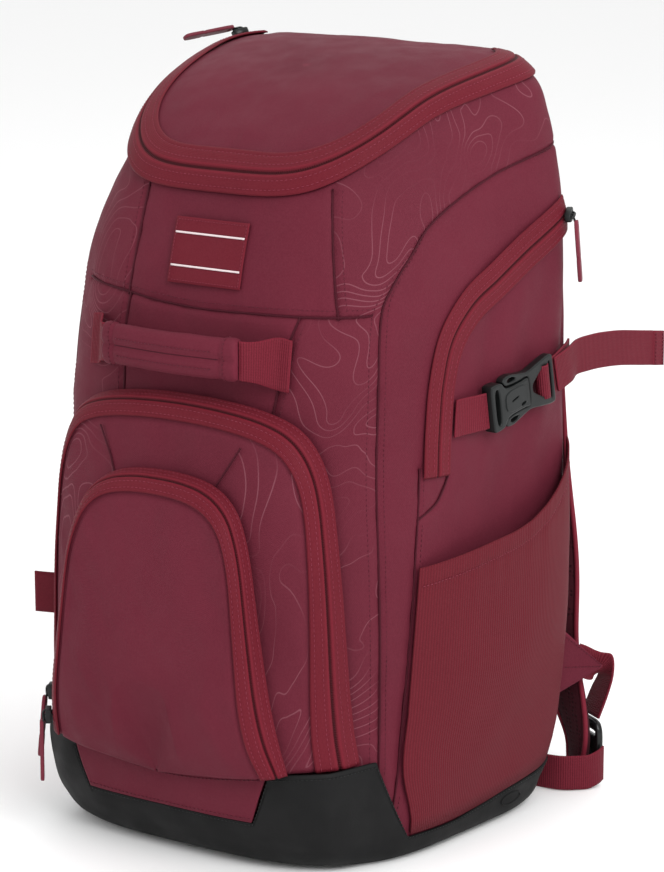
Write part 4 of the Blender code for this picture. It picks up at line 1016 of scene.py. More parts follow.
def mottled(tree, colour, spread, place):
    """Colour with soft large patches and a fine heathered grain."""
    patches = ramp(tree, noise_at(tree, place, 9.0, 3.0), 0.3, 0.7)
    grain = ramp(tree, noise_at(tree, place, 900.0, 2.0), 0.3, 0.7)
    broad = blend_colour(tree, patches, tone(colour, 1 - spread), tone(colour, 1 + spread))
    pale = tuple(min(channel * 1.3 + 0.006, 1.0) for channel in colour) + (1.0,)
    return blend_colour(tree, maths(tree, "MULTIPLY", grain, 0.30), broad, pale)


def contour_mask(tree, along, across):
    """Thin level lines of a smooth random height, even in width."""
    reach = 0.0006

    def height(shift_along, shift_across):
        joined = node(tree, "ShaderNodeCombineXYZ", maths(tree, "ADD", along, shift_along),
                      maths(tree, "ADD", across, shift_across), 3.7)
        return noise_at(tree, joined, 13.0, 1.4, 0.42, 0.5)

    here = height(0.0, 0.0)
    slope_along = maths(tree, "SUBTRACT", height(reach, 0.0), here)
    slope_across = maths(tree, "SUBTRACT", height(0.0, reach), here)
    steep = maths(tree, "SQRT", maths(tree, "ADD", maths(tree, "MULTIPLY", slope_along, slope_along),
                                      maths(tree, "MULTIPLY", slope_across, slope_across)))
    levels = 19.0
    off_line = maths(tree, "PINGPONG", maths(tree, "MULTIPLY", here, levels), 0.5)
    slope = maths(tree, "ADD", maths(tree, "MULTIPLY", steep, levels / reach), 6.0)
    distance = maths(tree, "DIVIDE", off_line, slope)
    return ramp(tree, distance, 0.00012, 0.00052, 1.0, 0.0)


def cloth_material(name, colour, pitch=0.0011, printed=False, spread=0.07):
    made, tree, shader = base_material(name, 0.66, 0.02, (1.0, 0.62, 0.68, 1.0))
    place = object_place(tree)
    along, across = flat_place(tree)
    shown = mottled(tree, colour, spread, place)
    if printed:
        zone = ramp(tree, field(tree, "print"), -0.0004, 0.0004)
        fade = ramp(tree, noise_at(tree, place, 16.0, 1.0), 0.38, 0.66, 0.05, 0.62)
        lines = maths(tree, "MULTIPLY", contour_mask(tree, along, across), fade)
        ground = blend_colour(tree, maths(tree, "MULTIPLY", zone, 0.12), shown, (0.125, 0.024, 0.038, 1))
        shown = blend_colour(tree, maths(tree, "MULTIPLY", lines, zone), ground, (0.21, 0.070, 0.090, 1))
    worn = ramp(tree, field(tree, "border"), 0.0, 0.0016, 0.35, 0.0)
    rough_noise = noise_at(tree, place, 60.0, 3.0)
    shown = blend_colour(tree, maths(tree, "MULTIPLY", worn, rough_noise), shown,
                         tone(colour, 1.9))
    tree.links.new(shown, shader.inputs["Base Color"])
    tree.links.new(ramp(tree, rough_noise, 0.2, 0.8, 0.55, 0.70), shader.inputs["Roughness"])
    fine = maths(tree, "MULTIPLY", noise_at(tree, place, 420.0, 3.0), 1.4)
    bump(tree, shader, maths(tree, "ADD", weave_height(tree, along, across, pitch), fine), 0.00012, 0.55)
    return made


def zip_material(name, colour):
    """Woven tape whose sunken middle shows the coil, painted dark both for the coil's own tone and as
    painted shade in the groove between the lips, with a painted highlight on the raised lips. The field
    across runs 0 to 1 over the band.
    """
    made, tree, shader = base_material(name, 0.55, 0.015, (1.0, 0.6, 0.62, 1.0))
    place = object_place(tree)
    along, across = flat_place(tree)
    shown = mottled(tree, colour, 0.06, place)
    centre = maths(tree, "ABSOLUTE", maths(tree, "SUBTRACT", field(tree, "across"), 0.5))
    # Coil tone and painted shade: the sunken middle between the lips is painted much darker.
    gap = ramp(tree, centre, 0.014, 0.046, 1.0, 0.0)
    shown = blend_colour(tree, gap, shown, tone(colour, 0.36))
    # Painted highlight: the raised lips beside the coil are painted lighter.
    lip_highlight = maths(tree, "MULTIPLY", ramp(tree, centre, 0.045, 0.075),
                ramp(tree, centre, 0.085, 0.12, 1.0, 0.0))
    shown = blend_colour(tree, maths(tree, "MULTIPLY", lip_highlight, 0.45), shown, tone(colour, 1.5))
    tree.links.new(shown, shader.inputs["Base Color"])
    ribs = wave(tree, across, TAPE_RIB)
    teeth = maths(tree, "MULTIPLY", wave(tree, along, ZIP_TOOTH), maths(tree, "MULTIPLY", gap, 4.0))
    fine = noise_at(tree, place, 500.0, 2.0)
    height = maths(tree, "ADD", maths(tree, "ADD", maths(tree, "MULTIPLY", ribs, 0.6), teeth), fine)
    bump(tree, shader, height, 0.00016, 0.5)
    return made


def web_material(name, colour, pitch=WEB_RIB):
    """Webbing with ribs across it and a firmer selvedge."""
    made, tree, shader = base_material(name, 0.6, 0.015, (1.0, 0.65, 0.68, 1.0))
    place = object_place(tree)
    along, across = flat_place(tree)
    shown = mottled(tree, colour, 0.06, place)
    rib = wave(tree, along, pitch)
    ply = wave(tree, across, WEB_PLY)
    # Painted shade: the troughs between the ribs are painted darker.
    shown = blend_colour(tree, ramp(tree, rib, -1.0, 0.2, 0.5, 0.0), shown, tone(colour, 0.5))
    worn = ramp(tree, field(tree, "border"), 0.0, 0.0014, 0.4, 0.0)
    shown = blend_colour(tree, worn, shown, tone(colour, 1.6))
    tree.links.new(shown, shader.inputs["Base Color"])
    height = maths(tree, "ADD", rib, maths(tree, "MULTIPLY", ply, 0.35))
    bump(tree, shader, maths(tree, "ADD", height, noise_at(tree, place, 600.0, 2.0)), 0.00026, 0.6)
    return made


def knit_material(name, colour, pitch=KNIT_RIB):
    """Stretch cloth with fine upright ribs."""
    made, tree, shader = base_material(name, 0.7, 0.02, (1.0, 0.62, 0.66, 1.0))
    place = object_place(tree)
    along, across = flat_place(tree)
    shown = mottled(tree, colour, 0.06, place)
    rib = wave(tree, along, pitch)
    loops = wave(tree, across, KNIT_LOOP)
    # Painted shade: the troughs between the ribs are painted darker.
    shown = blend_colour(tree, ramp(tree, rib, -1.0, 0.3, 0.42, 0.0), shown, tone(colour, 0.55))
    tree.links.new(shown, shader.inputs["Base Color"])
    height = maths(tree, "ADD", rib, maths(tree, "MULTIPLY", loops, 0.3))
    bump(tree, shader, height, 0.0003, 0.6)
    return made


def mesh_material(name, colour):
    """Open spacer mesh: small cells in a grid, painted darker inside as painted shade in the holes."""
    made, tree, shader = base_material(name, 0.8, 0.02)
    place = object_place(tree)
    cells = tree.nodes.new("ShaderNodeTexVoronoi")
    cells.inputs["Scale"].default_value = 300.0
    cells.inputs["Randomness"].default_value = 0.25
    tree.links.new(place, cells.inputs["Vector"])
    hole = ramp(tree, cells.outputs["Distance"], 0.18, 0.42, 1.0, 0.0)
    # Painted shade: the holes are painted darker.
    shown = blend_colour(tree, hole, mottled(tree, colour, 0.08, place), tone(colour, 0.55))
    tree.links.new(shown, shader.inputs["Base Color"])
    bump(tree, shader, maths(tree, "SUBTRACT", 1.0, hole), 0.0005, 0.7)
    return made


def rubber_material(name, colour, grain=700.0, roughness=0.5, depth=0.00012):
    """Moulded or coated surface with a fine pebble grain and slightly rubbed places."""
    made, tree, shader = base_material(name, roughness)
    shine = RUBBER_SPECULAR if grain < FINE_GRAIN else GLOSSY_SPECULAR
    shader.inputs["Specular IOR Level"].default_value = shine
    place = object_place(tree)
    patches = ramp(tree, noise_at(tree, place, 14.0, 4.0), 0.3, 0.75)
    shown = blend_colour(tree, patches, tone(colour, 0.88), tone(colour, 1.22))
    rubbed = ramp(tree, noise_at(tree, place, 130.0, 5.0, 0.7), 0.58, 0.80, 0.0, 0.30)
    shown = blend_colour(tree, rubbed, shown, tone(colour, 1.9))
    tree.links.new(shown, shader.inputs["Base Color"])
    rough = ramp(tree, noise_at(tree, place, 40.0, 3.0), 0.3, 0.7, roughness - 0.07, roughness + 0.10)
    tree.links.new(rough, shader.inputs["Roughness"])
    pebbles = tree.nodes.new("ShaderNodeTexVoronoi")
    pebbles.inputs["Scale"].default_value = grain
    tree.links.new(place, pebbles.inputs["Vector"])
    bump(tree, shader, pebbles.outputs["Distance"], depth, 0.5)
    return made


def thread_material(name, colour):
    made, tree, shader = base_material(name, 0.5, 0.04)
    place = object_place(tree)
    tree.links.new(mottled(tree, colour, 0.1, place), shader.inputs["Base Color"])
    bump(tree, shader, noise_at(tree, place, 2600.0, 2.0), 0.00006, 0.5)
    return made


M = {
    "cloth": cloth_material("cloth", CLOTH),
    "cloth_print": cloth_material("cloth_print", CLOTH, printed=True),
    "zip": zip_material("zip", ZIP),
    "mesh": knit_material("mesh", (0.106, 0.0095, 0.0165)),
    "web": web_material("web", WEB),
    "rubber": rubber_material("rubber", (0.0060, 0.0060, 0.0062), roughness=0.66),
    "buckle": rubber_material("buckle", (0.0060, 0.0072, 0.0072), 1400.0, 0.38, 0.00004),
    "panel": mesh_material("panel", (0.046, 0.0070, 0.0120)),
    "pull": rubber_material("pull", (0.140, 0.020, 0.034), 900.0, 0.5, 0.00008),
    # Dark seam cloth; it also colours the painted shade cord along the handle's crease.
    "seam": cloth_material("seam", (0.040, 0.0040, 0.0090)),
    "thread": thread_material("thread", (0.170, 0.024, 0.042)),
    "dark_thread": thread_material("dark_thread", (0.082, 0.0100, 0.0200)),
    "pale": thread_material("pale", (0.62, 0.52, 0.53)),
    "glossy": rubber_material("glossy", (0.0075, 0.0080, 0.0085), 1400.0, 0.20, 0.00002),
    "label": cloth_material("label", (0.108, 0.0085, 0.0165), pitch=0.0008),
}


# The bag

SHELL_NODES = ["main_shell_" + place for place in ("floor", "front", "front_left", "front_right", "back",
                                                   "left", "right")]
MAIN_SEAM = ((0.126, 0.472), (0.115, 0.469), (0.050, 0.455), (-0.017, 0.431), (-0.045, 0.411),
             (-0.065, 0.391), (-0.075, 0.371), (-0.082, 0.321), (-0.086, 0.255), (-0.085, 0.160),
             (-0.084, 0.062))
SIDE_SEAM = ((-0.0534, 0.271), (-0.0558, 0.238), (-0.0586, 0.206), (-0.0602, 0.1835),
             (-0.0665, 0.113), (-0.070, 0.067), (-0.0722, 0.036))
SIDE_CURVE = ((-0.0247, 0.2616), (-0.0302, 0.2531), (-0.0385, 0.2444), (-0.0559, 0.2366))
PANEL_LEFT = ((-0.060, 0.455), (-0.061, 0.410), (-0.064, 0.374))
PANEL_RIGHT = ((0.086, 0.454), (0.096, 0.413), (0.105, 0.372))
CROSS_SEAM = ((-0.108, 0.380), (-0.090, 0.378), (-0.064, 0.376), (-0.038, 0.373), (0.000, 0.371),
              (0.043, 0.372), (0.080, 0.373), (0.110, 0.374), (0.122, 0.375))
V_LEFT = ((-0.062, 0.376), (-0.064, 0.356), (-0.063, 0.324), (-0.062, 0.290), (-0.050, 0.270),
          (-0.044, 0.255))
V_RIGHT = ((0.080, 0.373), (0.074, 0.355), (0.067, 0.319), (0.064, 0.303), (0.053, 0.284),
           (0.037, 0.258))

# Seams and stitching: how deep they lie under the cloth
SEAM_DEPTH = 0.0026
SEAM_STITCH_DEPTH = 0.0021
STITCH_DEPTH = 0.0019
STITCH_LIFT = 0.0002
FINE_STITCH = 0.00026
PRINT_EDGE = 0.02
FOOT_PLACE = (0.054, 0.0160)
FOOT_SIZE = (0.0115, 0.0040)
HANDLE_RING = 48
HANDLE_END_FLARE = ((0, 0), (0.3, 0.2), (0.6, 0.95), (1, 1))


def even_line(points, step=0.003):
    """The line with a point every step, rounded at its corners."""
    grid = spline(np.array(points, float)[:, None, :], 12, 0)[:, 0, :]
    run = run_along(grid)
    count = max(int(run[-1] / step), 2)
    at = np.linspace(0, run[-1], count)
    return np.stack([np.interp(at, run, grid[:, axis]) for axis in range(grid.shape[1])], axis=1)


def edge_at(line, heights):
    """Sideways place of a line that runs downwards, at each height."""
    return np.interp(heights, [row[1] for row in reversed(line)], [row[0] for row in reversed(line)])


def on_side(line, side, out=0.0):
    return [side_point(y, z, out, side) for y, z in even_line(line)]


def on_front(line, out=0.0):
    return [Vector((x, front_y(x, z, out), z)) for x, z in even_line(line)]


def ring_by_length(count, height):
    """Angles that stand evenly round the wall at a height."""
    fine = []
    for quarter in range(4):
        for step in range(600):
            t = step / 600
            bend = 0.5 * (1 - math.cos(math.pi * t))
            fine.append((quarter + mix(t, bend, 0.985)) * math.pi / 2)
    # close to the quarter turns the place changes faster than the angle
    fine += [quarter * math.pi / 2 + sign * 10 ** (-power / 12) for quarter in range(5)
             for sign in (1, -1) for power in range(14, 110)]
    fine = sorted({angle for angle in fine if 0 <= angle < math.tau})
    points = np.array([tuple(wall(angle, height)) for angle in fine])
    run = run_along(np.vstack([points, points[:1]]))
    at = np.arange(count) / count * run[-1]
    return [float(angle) for angle in np.interp(at, run, np.append(fine, math.tau))]


def groove(distance, depth, width):
    """Soft groove round a line, from the distance to it."""
    return depth * np.exp(-(distance / width) ** 2)


def settle(line, grid, normal):
    """Points of a line moved onto the cloth, each with the cloth's normal there."""
    places = grid.reshape(-1, 3)
    ups = normal.reshape(-1, 3)
    settled = []
    for point in line:
        place = np.array(tuple(point))
        nearest = int(np.argmin(((places - place) ** 2).sum(axis=1)))
        up = ups[nearest]
        settled.append((Vector(place + up * ((places[nearest] - place) @ up)), Vector(up)))
    return settled


def make_body():
    angles = ring_by_length(380, 0.30)
    tops = [rim_height(angle) - mix(SEAT_GAP, ZIP_DROP - ZIP_OVERLAP / 2, zip_share(angle))
            for angle in angles]
    floor = BOOT_WALL + SEAT_GAP
    rows = [[mid_point(wall(angle, floor, at_height=0.0), 0.02) for angle in angles],
            [mid_point(wall(angle, floor, at_height=0.0), 0.8) for angle in angles],
            [wall(angle, floor, at_height=0.0) for angle in angles]]
    low = floor + 0.004
    shares = list(np.linspace(0, 0.06, 5)) + list(np.linspace(0.065, 1.0, 175))
    for share in shares:
        rows.append([wall(angle, mix(low, top, share)) for angle, top in zip(angles, tops)])
    rows.reverse()
    grid = as_grid(rows)
    x, y, z = (grid[..., axis] for axis in range(3))
    seams = []
    for side in (1, -1):
        for line in (MAIN_SEAM, SIDE_SEAM, SIDE_CURVE):
            seams.append(on_side(line, side))
    for line in (PANEL_LEFT, PANEL_RIGHT, CROSS_SEAM, V_LEFT[:4], V_RIGHT[:4]):
        seams.append(on_front(line))
    gap = np.full(grid.shape[:2], 1e9)
    along = np.zeros(grid.shape[:2])
    for line in seams:
        near, run = distance_to(grid, [tuple(point) for point in line])
        along = np.where(near < gap, run, along)
        gap = np.minimum(gap, near)
    normal = outward(grid, wrap=True)
    pucker = rumple(np.stack([along, gap * 0.25, 0 * gap], axis=2), 0.011, 5.0, 2)
    relief = -groove(gap, 0.0017, 0.0022) - 0.0006 * np.exp(-gap / 0.012) * (1 + pucker)
    broad = rumple(grid, 0.055, 1.0, 3, (1, 1, 1.5))
    small = rumple(grid, 0.018, 2.0, 2, (1, 1, 1.8))
    relief -= 0.0011 * (1 + broad) + 0.00025 * (1 + small)
    # soft upright folds on the side panel behind the zip
    panel_height = smooth_step(z, 0.20, 0.26) * (1 - smooth_step(z, 0.36, 0.42))
    on_side_panel = np.abs(normal[..., 0]) > 0.75
    folds = np.sin((y - 0.35 * (z - 0.30)) * math.tau / 0.052 + 1.1)
    relief -= 0.0013 * (1 + folds) * panel_height * on_side_panel * smooth_step(y, -0.01, 0.03)
    relief[-3:] = 0
    grid = grid + normal * relief[..., None]
    # the printed cloth: beside the front panel, outside the V and above the main seam
    seam_line = even_line(MAIN_SEAM)
    ahead = np.interp(z, seam_line[::-1, 1], seam_line[::-1, 0]) - y
    ahead = np.where(z > MAIN_SEAM[0][1], 0.03, ahead)
    cross = np.interp(x, [row[0] for row in CROSS_SEAM], [row[1] for row in CROSS_SEAM])
    right_edge = np.where(z > cross, edge_at(PANEL_RIGHT, z), edge_at(V_RIGHT, z))
    left_edge = np.where(z > cross, edge_at(PANEL_LEFT, z), edge_at(V_LEFT, z))
    beyond = np.where(x > 0.01, x - right_edge, left_edge - x)
    zone = np.minimum(np.where(y < -0.050, beyond, 0.05), ahead)
    make("body_cloth", grid, "cloth_print", SHELL_NODES, WALL * 0.8, out=False, wrap=True,
         cap=True, fields={"print": zone})
    sunk = [[point - Vector((point.x, point.y, 0)).normalized() * SEAM_DEPTH for point in line]
            for line in seams]
    tube("body_seams", sunk, 0.00075, "seam")
    rows = []
    for side in (1, -1):
        for shift in (0.0055, -0.0055):
            line = [(y + shift * 0.9, z + shift * 0.35) for y, z in MAIN_SEAM]
            rows.append(on_side(line[1:], side, -SEAM_STITCH_DEPTH))
        rows.append(on_side([(y + 0.0045, z) for y, z in SIDE_SEAM], side, -STITCH_DEPTH))
    for line in (PANEL_LEFT, PANEL_RIGHT, V_LEFT[:4], V_RIGHT[:4]):
        shift = 0.004 if line[0][0] > 0 else -0.004
        rows.append(on_front([(x + shift, z) for x, z in line], -STITCH_DEPTH))
    rows.append(on_front([(x, z + 0.0045) for x, z in CROSS_SEAM], -STITCH_DEPTH))
    rows = [settle(row, grid, normal) for row in rows]
    stitches("body_stitches", rows, "dark_thread", radius=FINE_STITCH)


def make_lid():
    angles = ring_by_length(300, 0.49)
    shares = [1.0, 0.985, 0.96] + list(np.linspace(0.93, 0.04, 44)) + [0.02]
    grid = as_grid([[lid_point(angle, share) for angle in angles] for share in shares])
    normal = outward(grid, (0, 0, 0), True)
    run = lengths(grid, 1)
    edge = each_row([(1 - share) * 0.12 for share in shares], grid)
    front = np.array([max(math.cos(angle), 0.0) for angle in angles])[None, :] ** 0.6
    around = np.stack([each_column(run, grid), edge * 0.22, 0 * edge], axis=2)
    gathers = rumple(around, 0.013, 11.0, 2)
    relief = 0.0013 * gathers * np.exp(-edge / 0.020) * (0.35 + 0.65 * front)
    relief += 0.0022 * smooth_step(edge, 0.0, 0.028) - 0.0006
    relief += 0.0012 * rumple(grid, 0.06, 12.0, 3) + 0.0003 * rumple(grid, 0.02, 13.0, 2)
    relief[:3] = np.minimum(relief[:3], 0.0)
    grid = grid + normal * relief[..., None]
    make("lid_cloth", grid, "cloth", ["lid"], LID_WALL * 0.7, out=False, wrap=True, cap=True,
         centre=(0, 0, 0))


def band_grid(wall_edge, middle, lid_edge, steps=16):
    """Rounded band from three lines of points."""
    rows = []
    for index in range(steps + 1):
        t = index / steps
        row = []
        for low, mid, high in zip(wall_edge, middle, lid_edge):
            row.append(low * (1 - t) ** 2 + mid * 2 * t * (1 - t) + high * t**2)
        rows.append(row)
    return as_grid(rows)


def make_lid_zip():
    every = ring_by_length(420, 0.47)
    angles = sorted(math.remainder(angle, math.tau) for angle in every)
    angles = [angle for angle in angles if abs(angle) < LID_ZIP_END + 0.01]
    wall_edge, middle, lid_edge = [], [], []
    for angle in angles:
        rim = rim_height(angle)
        wall_edge.append(wall(angle, rim - ZIP_DROP, SKIN_GAP))
        middle.append(wall(angle, rim, SKIN_GAP) + Vector((0, 0, LID_WALL)))
        lid_edge.append(lid_point(angle, 1.0, SKIN_GAP, LID_INSET + ZIP_OVERLAP))
    base = band_grid(wall_edge, middle, lid_edge)
    zip_band("lid_zip_band", base, "lid_zipper", lift=0.0004)


def make_pocket(name, rows, node, zip_node, seed, printed):
    finer = 7
    grid = dense([row for row in rows if len(row) > 1], finer, finer)
    last = np.repeat(np.array([[tuple(rows[-1][0])]]), grid.shape[1], axis=1)
    fan = np.concatenate([grid[-1:] * (1 - t) + last * t for t in np.linspace(0, 0.97, 24)[1:]])
    grid = np.concatenate([grid, fan])
    normal = outward(grid, POCKET_CENTRE)
    edge = each_row(lengths(grid, 0), grid)
    face = edge - edge[(ZIP_RINGS - 1) * finer]
    around = np.stack([each_column(lengths(grid, 1), grid), face * 0.16, 0 * face], axis=2)
    inside = smooth_step(face, 0.0, 0.010)
    pucker = rumple(around, 0.012, seed, 2) * np.exp(-np.abs(face) / 0.020) * inside
    height = grid[..., 2]
    above = smooth_step(height, BOOT_MIDDLE_HEIGHT, BOOT_MIDDLE_HEIGHT + 0.03)
    x = grid[..., 0]
    slant = np.stack([x + 0.55 * height, 0.28 * (height - 0.5 * x), 0 * height], axis=2)
    folds = rumple(slant, 0.026, seed + 1, 2)
    broad = rumple(grid, 0.060, seed + 2, 2)
    relief = 0.0010 * pucker + inside * above * (0.0011 * folds + 0.0016 * broad - 0.0004)
    relief -= 0.0012 * np.exp(-((face - 0.0005) / 0.0018) ** 2)
    # the large pocket's face carries the small one, so it swells less
    relief = np.minimum(relief, 0.0005 if printed else 0.0016)
    grid = grid + normal * relief[..., None]
    fields = {}
    if printed:
        x, z = grid[..., 0], grid[..., 2]
        beyond = np.where(x > 0.0, x - edge_at(V_RIGHT, z), edge_at(V_LEFT, z) - x)
        fields["print"] = np.where(z < V_RIGHT[-1][1], PRINT_EDGE, beyond)
    make(name + "_cloth", grid, "cloth_print" if printed else "cloth", [node],
         POCKET_WALL * 0.7, out=False, centre=POCKET_CENTRE, fields=fields)
    base = dense(rows[:ZIP_RINGS], 8, 9)
    zip_band(name + "_zip_band", base, zip_node, POCKET_CENTRE, ends=False)


def make_pockets():
    def large_base(x, height):
        return front_y(x, height, SKIN_GAP + POCKET_WALL)

    def small_base(x, height):
        return large_face_y(x, height) - SKIN_GAP - POCKET_WALL

    rows = pocket_rows(POCKET_ARCH, LARGE_HALF_WIDTH, LARGE_TOP, boot_line, large_base,
                       LARGE_DEPTH, LARGE_CROWN, GUSSET_INSET, POCKET_SWELL)
    make_pocket("large_pocket", rows, "front_pocket_large", "large_pocket_zipper", 21.0, True)
    seams = [[Vector((x, large_face_y(x, z) - 0.0002, z)) for x, z in even_line(line[3:])[hidden:]]
             for line, hidden in ((V_LEFT, 0), (V_RIGHT, 5))]
    tube("large_pocket_seams", seams, 0.0006, "seam")
    rows = pocket_rows(SMALL_ARCH, SMALL_HALF_WIDTH, SMALL_TOP, boot_line, small_base,
                       SMALL_DEPTH, SMALL_CROWN, GUSSET_INSET * 0.86, SMALL_SWELL)
    make_pocket("small_pocket", rows, "front_pocket_small", "small_pocket_zipper", 31.0, False)


def make_side_zip(side):
    rows = []
    for index in range(151):
        share = index / 150
        here = side_zip_axis(share)
        step = side_zip_axis(min(share + 0.02, 1.0)) - side_zip_axis(max(share - 0.02, 0.0))
        across = Vector((-step.y, step.x)).normalized()
        row = []
        for reach in np.linspace(-0.5, 0.5, 9):
            place = here + across * reach * SIDE_ZIP_WIDTH
            row.append(side_point(place.x, place.y, 0.0, side))
        rows.append(row)
    base = np.moveaxis(as_grid(rows), 0, 1)
    zip_band(side_name("side_zip_band", side), base, side_name("side_zipper", side), lift=0.0006)


def make_side_pocket(side):
    rows = []
    rises = [0.0, 0.06] + list(np.linspace(0.12, 0.90, 26)) + [0.92, 0.935, 0.945, 0.96, 0.975, 0.99, 1.0]
    places = np.interp(np.linspace(0, 1, 91), np.linspace(0, 1, len(POCKET_COLUMNS)), POCKET_COLUMNS)
    for rise in rises:
        row = []
        for share in places:
            front, rear = POCKET_FRONT_EDGE[0][1], POCKET_BACK_EDGE[0][1]
            for _ in range(6):
                place = mix(front, rear, share)
                low = curve(BOOT_SIDE_EDGE, place) * HEIGHT + BOOT_WALL
                height = mix(low, curve(SIDE_HEM, place) * HEIGHT, rise)
                front = curve(POCKET_FRONT_EDGE, height / HEIGHT)
                rear = curve(POCKET_BACK_EDGE, height / HEIGHT)
            bulge = math.sin(math.pi * share) ** 0.9 * smooth(rise * 1.6)
            out = SKIN_GAP + SIDE_POCKET_BULGE * bulge
            row.append(side_point(place * mean_reach(), height, out, side))
        rows.append(row)
    grid = as_grid(rows)
    normal = outward(grid, SIDE_POCKET_CENTRE)
    rise = each_row(rises, grid)
    share = each_column(places, grid)
    inside = np.sin(np.pi * share) ** 0.5
    tall = grid[-1, :, 2] - grid[0, :, 2]
    down = (1 - rise) * tall[None, :]
    gathers = rumple(np.stack([share * 0.22, down * 0.12, 0 * share], axis=2), 0.014, 41.0, 2)
    relief = 0.0009 * gathers * np.exp(-np.abs(down - 0.016) / 0.022) * inside
    relief += 0.0009 * (1 - smooth_step(down, 0.0115, 0.0128)) * inside
    relief -= 0.0007 * np.exp(-((down - 0.0135) / 0.0012) ** 2) * inside
    relief += 0.0010 * rumple(grid, 0.05, 42.0, 2) * inside
    grid = grid + normal * relief[..., None]
    make(side_name("side_pocket_knit", side), grid, "mesh", [side_name("side_pocket", side)],
         SIDE_POCKET_WALL, centre=SIDE_POCKET_CENTRE)
    hem = []
    for column in range(2, grid.shape[1] - 2):
        at = np.interp(0.0128, down[::-1, column], np.arange(grid.shape[0])[::-1])
        low = int(at)
        high = min(low + 1, grid.shape[0] - 1)
        point = grid[low, column] * (1 - at + low) + grid[high, column] * (at - low)
        hem.append((point + normal[low, column] * (SIDE_POCKET_WALL + 0.0003), normal[low, column]))
    stitches(side_name("side_pocket_stitches", side), [hem], "thread", pitch=LONG_PITCH)


def make_strap(name, grid, node_name, centre=BAG_CENTRE):
    """Webbing over a grid whose rows run along it."""
    make(name, grid, "web", [node_name], STRAP_WALL * 0.9, centre=centre, along=0)


def make_side_straps(side):
    first = []
    for share in (-1, 0, 1):
        height = STRAP_HEIGHT + share * STRAP_WIDTH / 2
        first.append(side_point(zip_inner_edge(height) + SKIN_GAP * 2, height, SKIN_GAP, side))
    last = buckle_edge(side, -SEAT_GAP)
    rows = []
    for share in (0.0, 0.3, 0.6, 0.85, 1.0):
        row = []
        for low, high in zip(first, last):
            point = low.lerp(high, share)
            seat = side_point(point.y, point.z, SKIN_GAP, side)
            row.append(seat + (high - side_point(high.y, high.z, SKIN_GAP, side)) * smooth(share))
        rows.append(row)
    make_strap(side_name("front_strap_web", side), dense(rows, 8, 8), side_name("side_strap_front", side))
    first = buckle_edge(side, BUCKLE_LENGTH + SEAT_GAP)
    buckle_out = abs(first[1].x) - abs(side_point(first[1].y, first[1].z, 0.0, side).x)
    start = first[1].y
    seam = BACK_REACH * STRAP_BACK_SHARE * 0.97
    rows = [first]
    for share in (0.25, 0.5, 0.75, 1.0):
        rows.append(strap_row(mix(start, seam, share), mix(buckle_out, SKIN_GAP, smooth(share)), side))
    make_strap(side_name("back_strap_web", side), dense(rows, 8, 8), side_name("side_strap_back", side))
    rows = []
    lift = buckle_out + STRAP_WALL + SEAT_GAP
    start += STRAP_WIDTH * 0.14
    for share in (0.0, 0.5, 1.0):
        rows.append(strap_row(mix(start, seam, share), lift, side))
    last = rows[-1][1]
    half = STRAP_WIDTH / 2
    for share, rise, out in TAIL_PATH:
        centre = Vector((last.x + side * out * STRAP_WIDTH, last.y + share * TAIL_LENGTH,
                         last.z + rise * STRAP_WIDTH))
        rows.append([centre - Vector((0, 0, half)), centre, centre + Vector((0, 0, half))])
    grid = dense(rows, 12, 8)
    normal = outward(grid)
    run = lengths(grid, 0)
    hem = (run[-1] - run < 0.014)[:, None]
    grid = grid + normal * (0.0011 * hem + 0.0004 * rumple(grid, 0.03, 51.0, 2))[..., None]
    make_strap(side_name("strap_tail_web", side), grid, side_name("side_strap_tail", side))
    lines = []
    for from_end in (0.0115, 0.0030):
        row = int(np.argmin(np.abs(run[-1] - run - from_end)))
        lines.append([(p + n * (STRAP_WALL + STITCH_LIFT), n) for p, n in zip(grid[row], normal[row])])
    stitches(side_name("strap_tail_stitches", side), lines, "dark_thread", pitch=SHORT_PITCH)


def make_boot():
    half = boot_angles()
    angles = []
    for index, angle in enumerate(half):
        after = half[(index + 1) % len(half)]
        gap = (after - angle) % math.tau
        angles.extend(angle + gap * step / 6 for step in range(6))
    edge = [wall(angle, BOOT_WALL, SKIN_GAP / 2, at_height=0.0) for angle in angles]
    rows = []
    foot = BOOT_WALL + 0.004
    for share in np.linspace(1.0, 0.0, 22):
        rows.append([toe_point(angle, mix(foot, boot_top(angle), share), SKIN_GAP) for angle in angles])
    rows.append(edge)
    rows.append([mid_point(point, 0.9) for point in edge])
    rows.append([mid_point(point, 0.03) for point in edge])
    grid = as_grid(rows)
    normal = outward(grid, BOOT_CENTRE, True)
    run = each_row(lengths(grid, 0), grid)
    relief = np.minimum(0.0007 * rumple(grid, 0.07, 61.0, 2), 0.0006)
    relief -= 0.0007 * np.exp(-((run - 0.0035) / 0.0016) ** 2)
    relief[-4:] = 0
    grid = grid + normal * relief[..., None]
    make("boot_shell", grid, "rubber", ["base_boot"], BOOT_WALL * 0.9, wrap=True, cap=True,
         centre=BOOT_CENTRE)
    row = [(point + up * (BOOT_WALL + 0.0001), up) for point, up in zip(grid[1], normal[1])]
    stitches("boot_stitches", [row], "buckle", pitch=LONG_PITCH)


def make_boot_feet():
    """Oval moulded ring low on each side of the boot."""
    for side in (1, -1):
        ring = []
        for turn in np.linspace(0, math.tau, 40, endpoint=False):
            y = FOOT_PLACE[0] + FOOT_SIZE[0] * math.cos(turn)
            z = FOOT_PLACE[1] + FOOT_SIZE[1] * math.sin(turn)
            ring.append(side_point(y, z, SKIN_GAP / 2 + BOOT_WALL + 0.0001, side))
        tube(side_name("boot_foot_ring", side), [ring], 0.0007, "rubber", 8, closed=True)


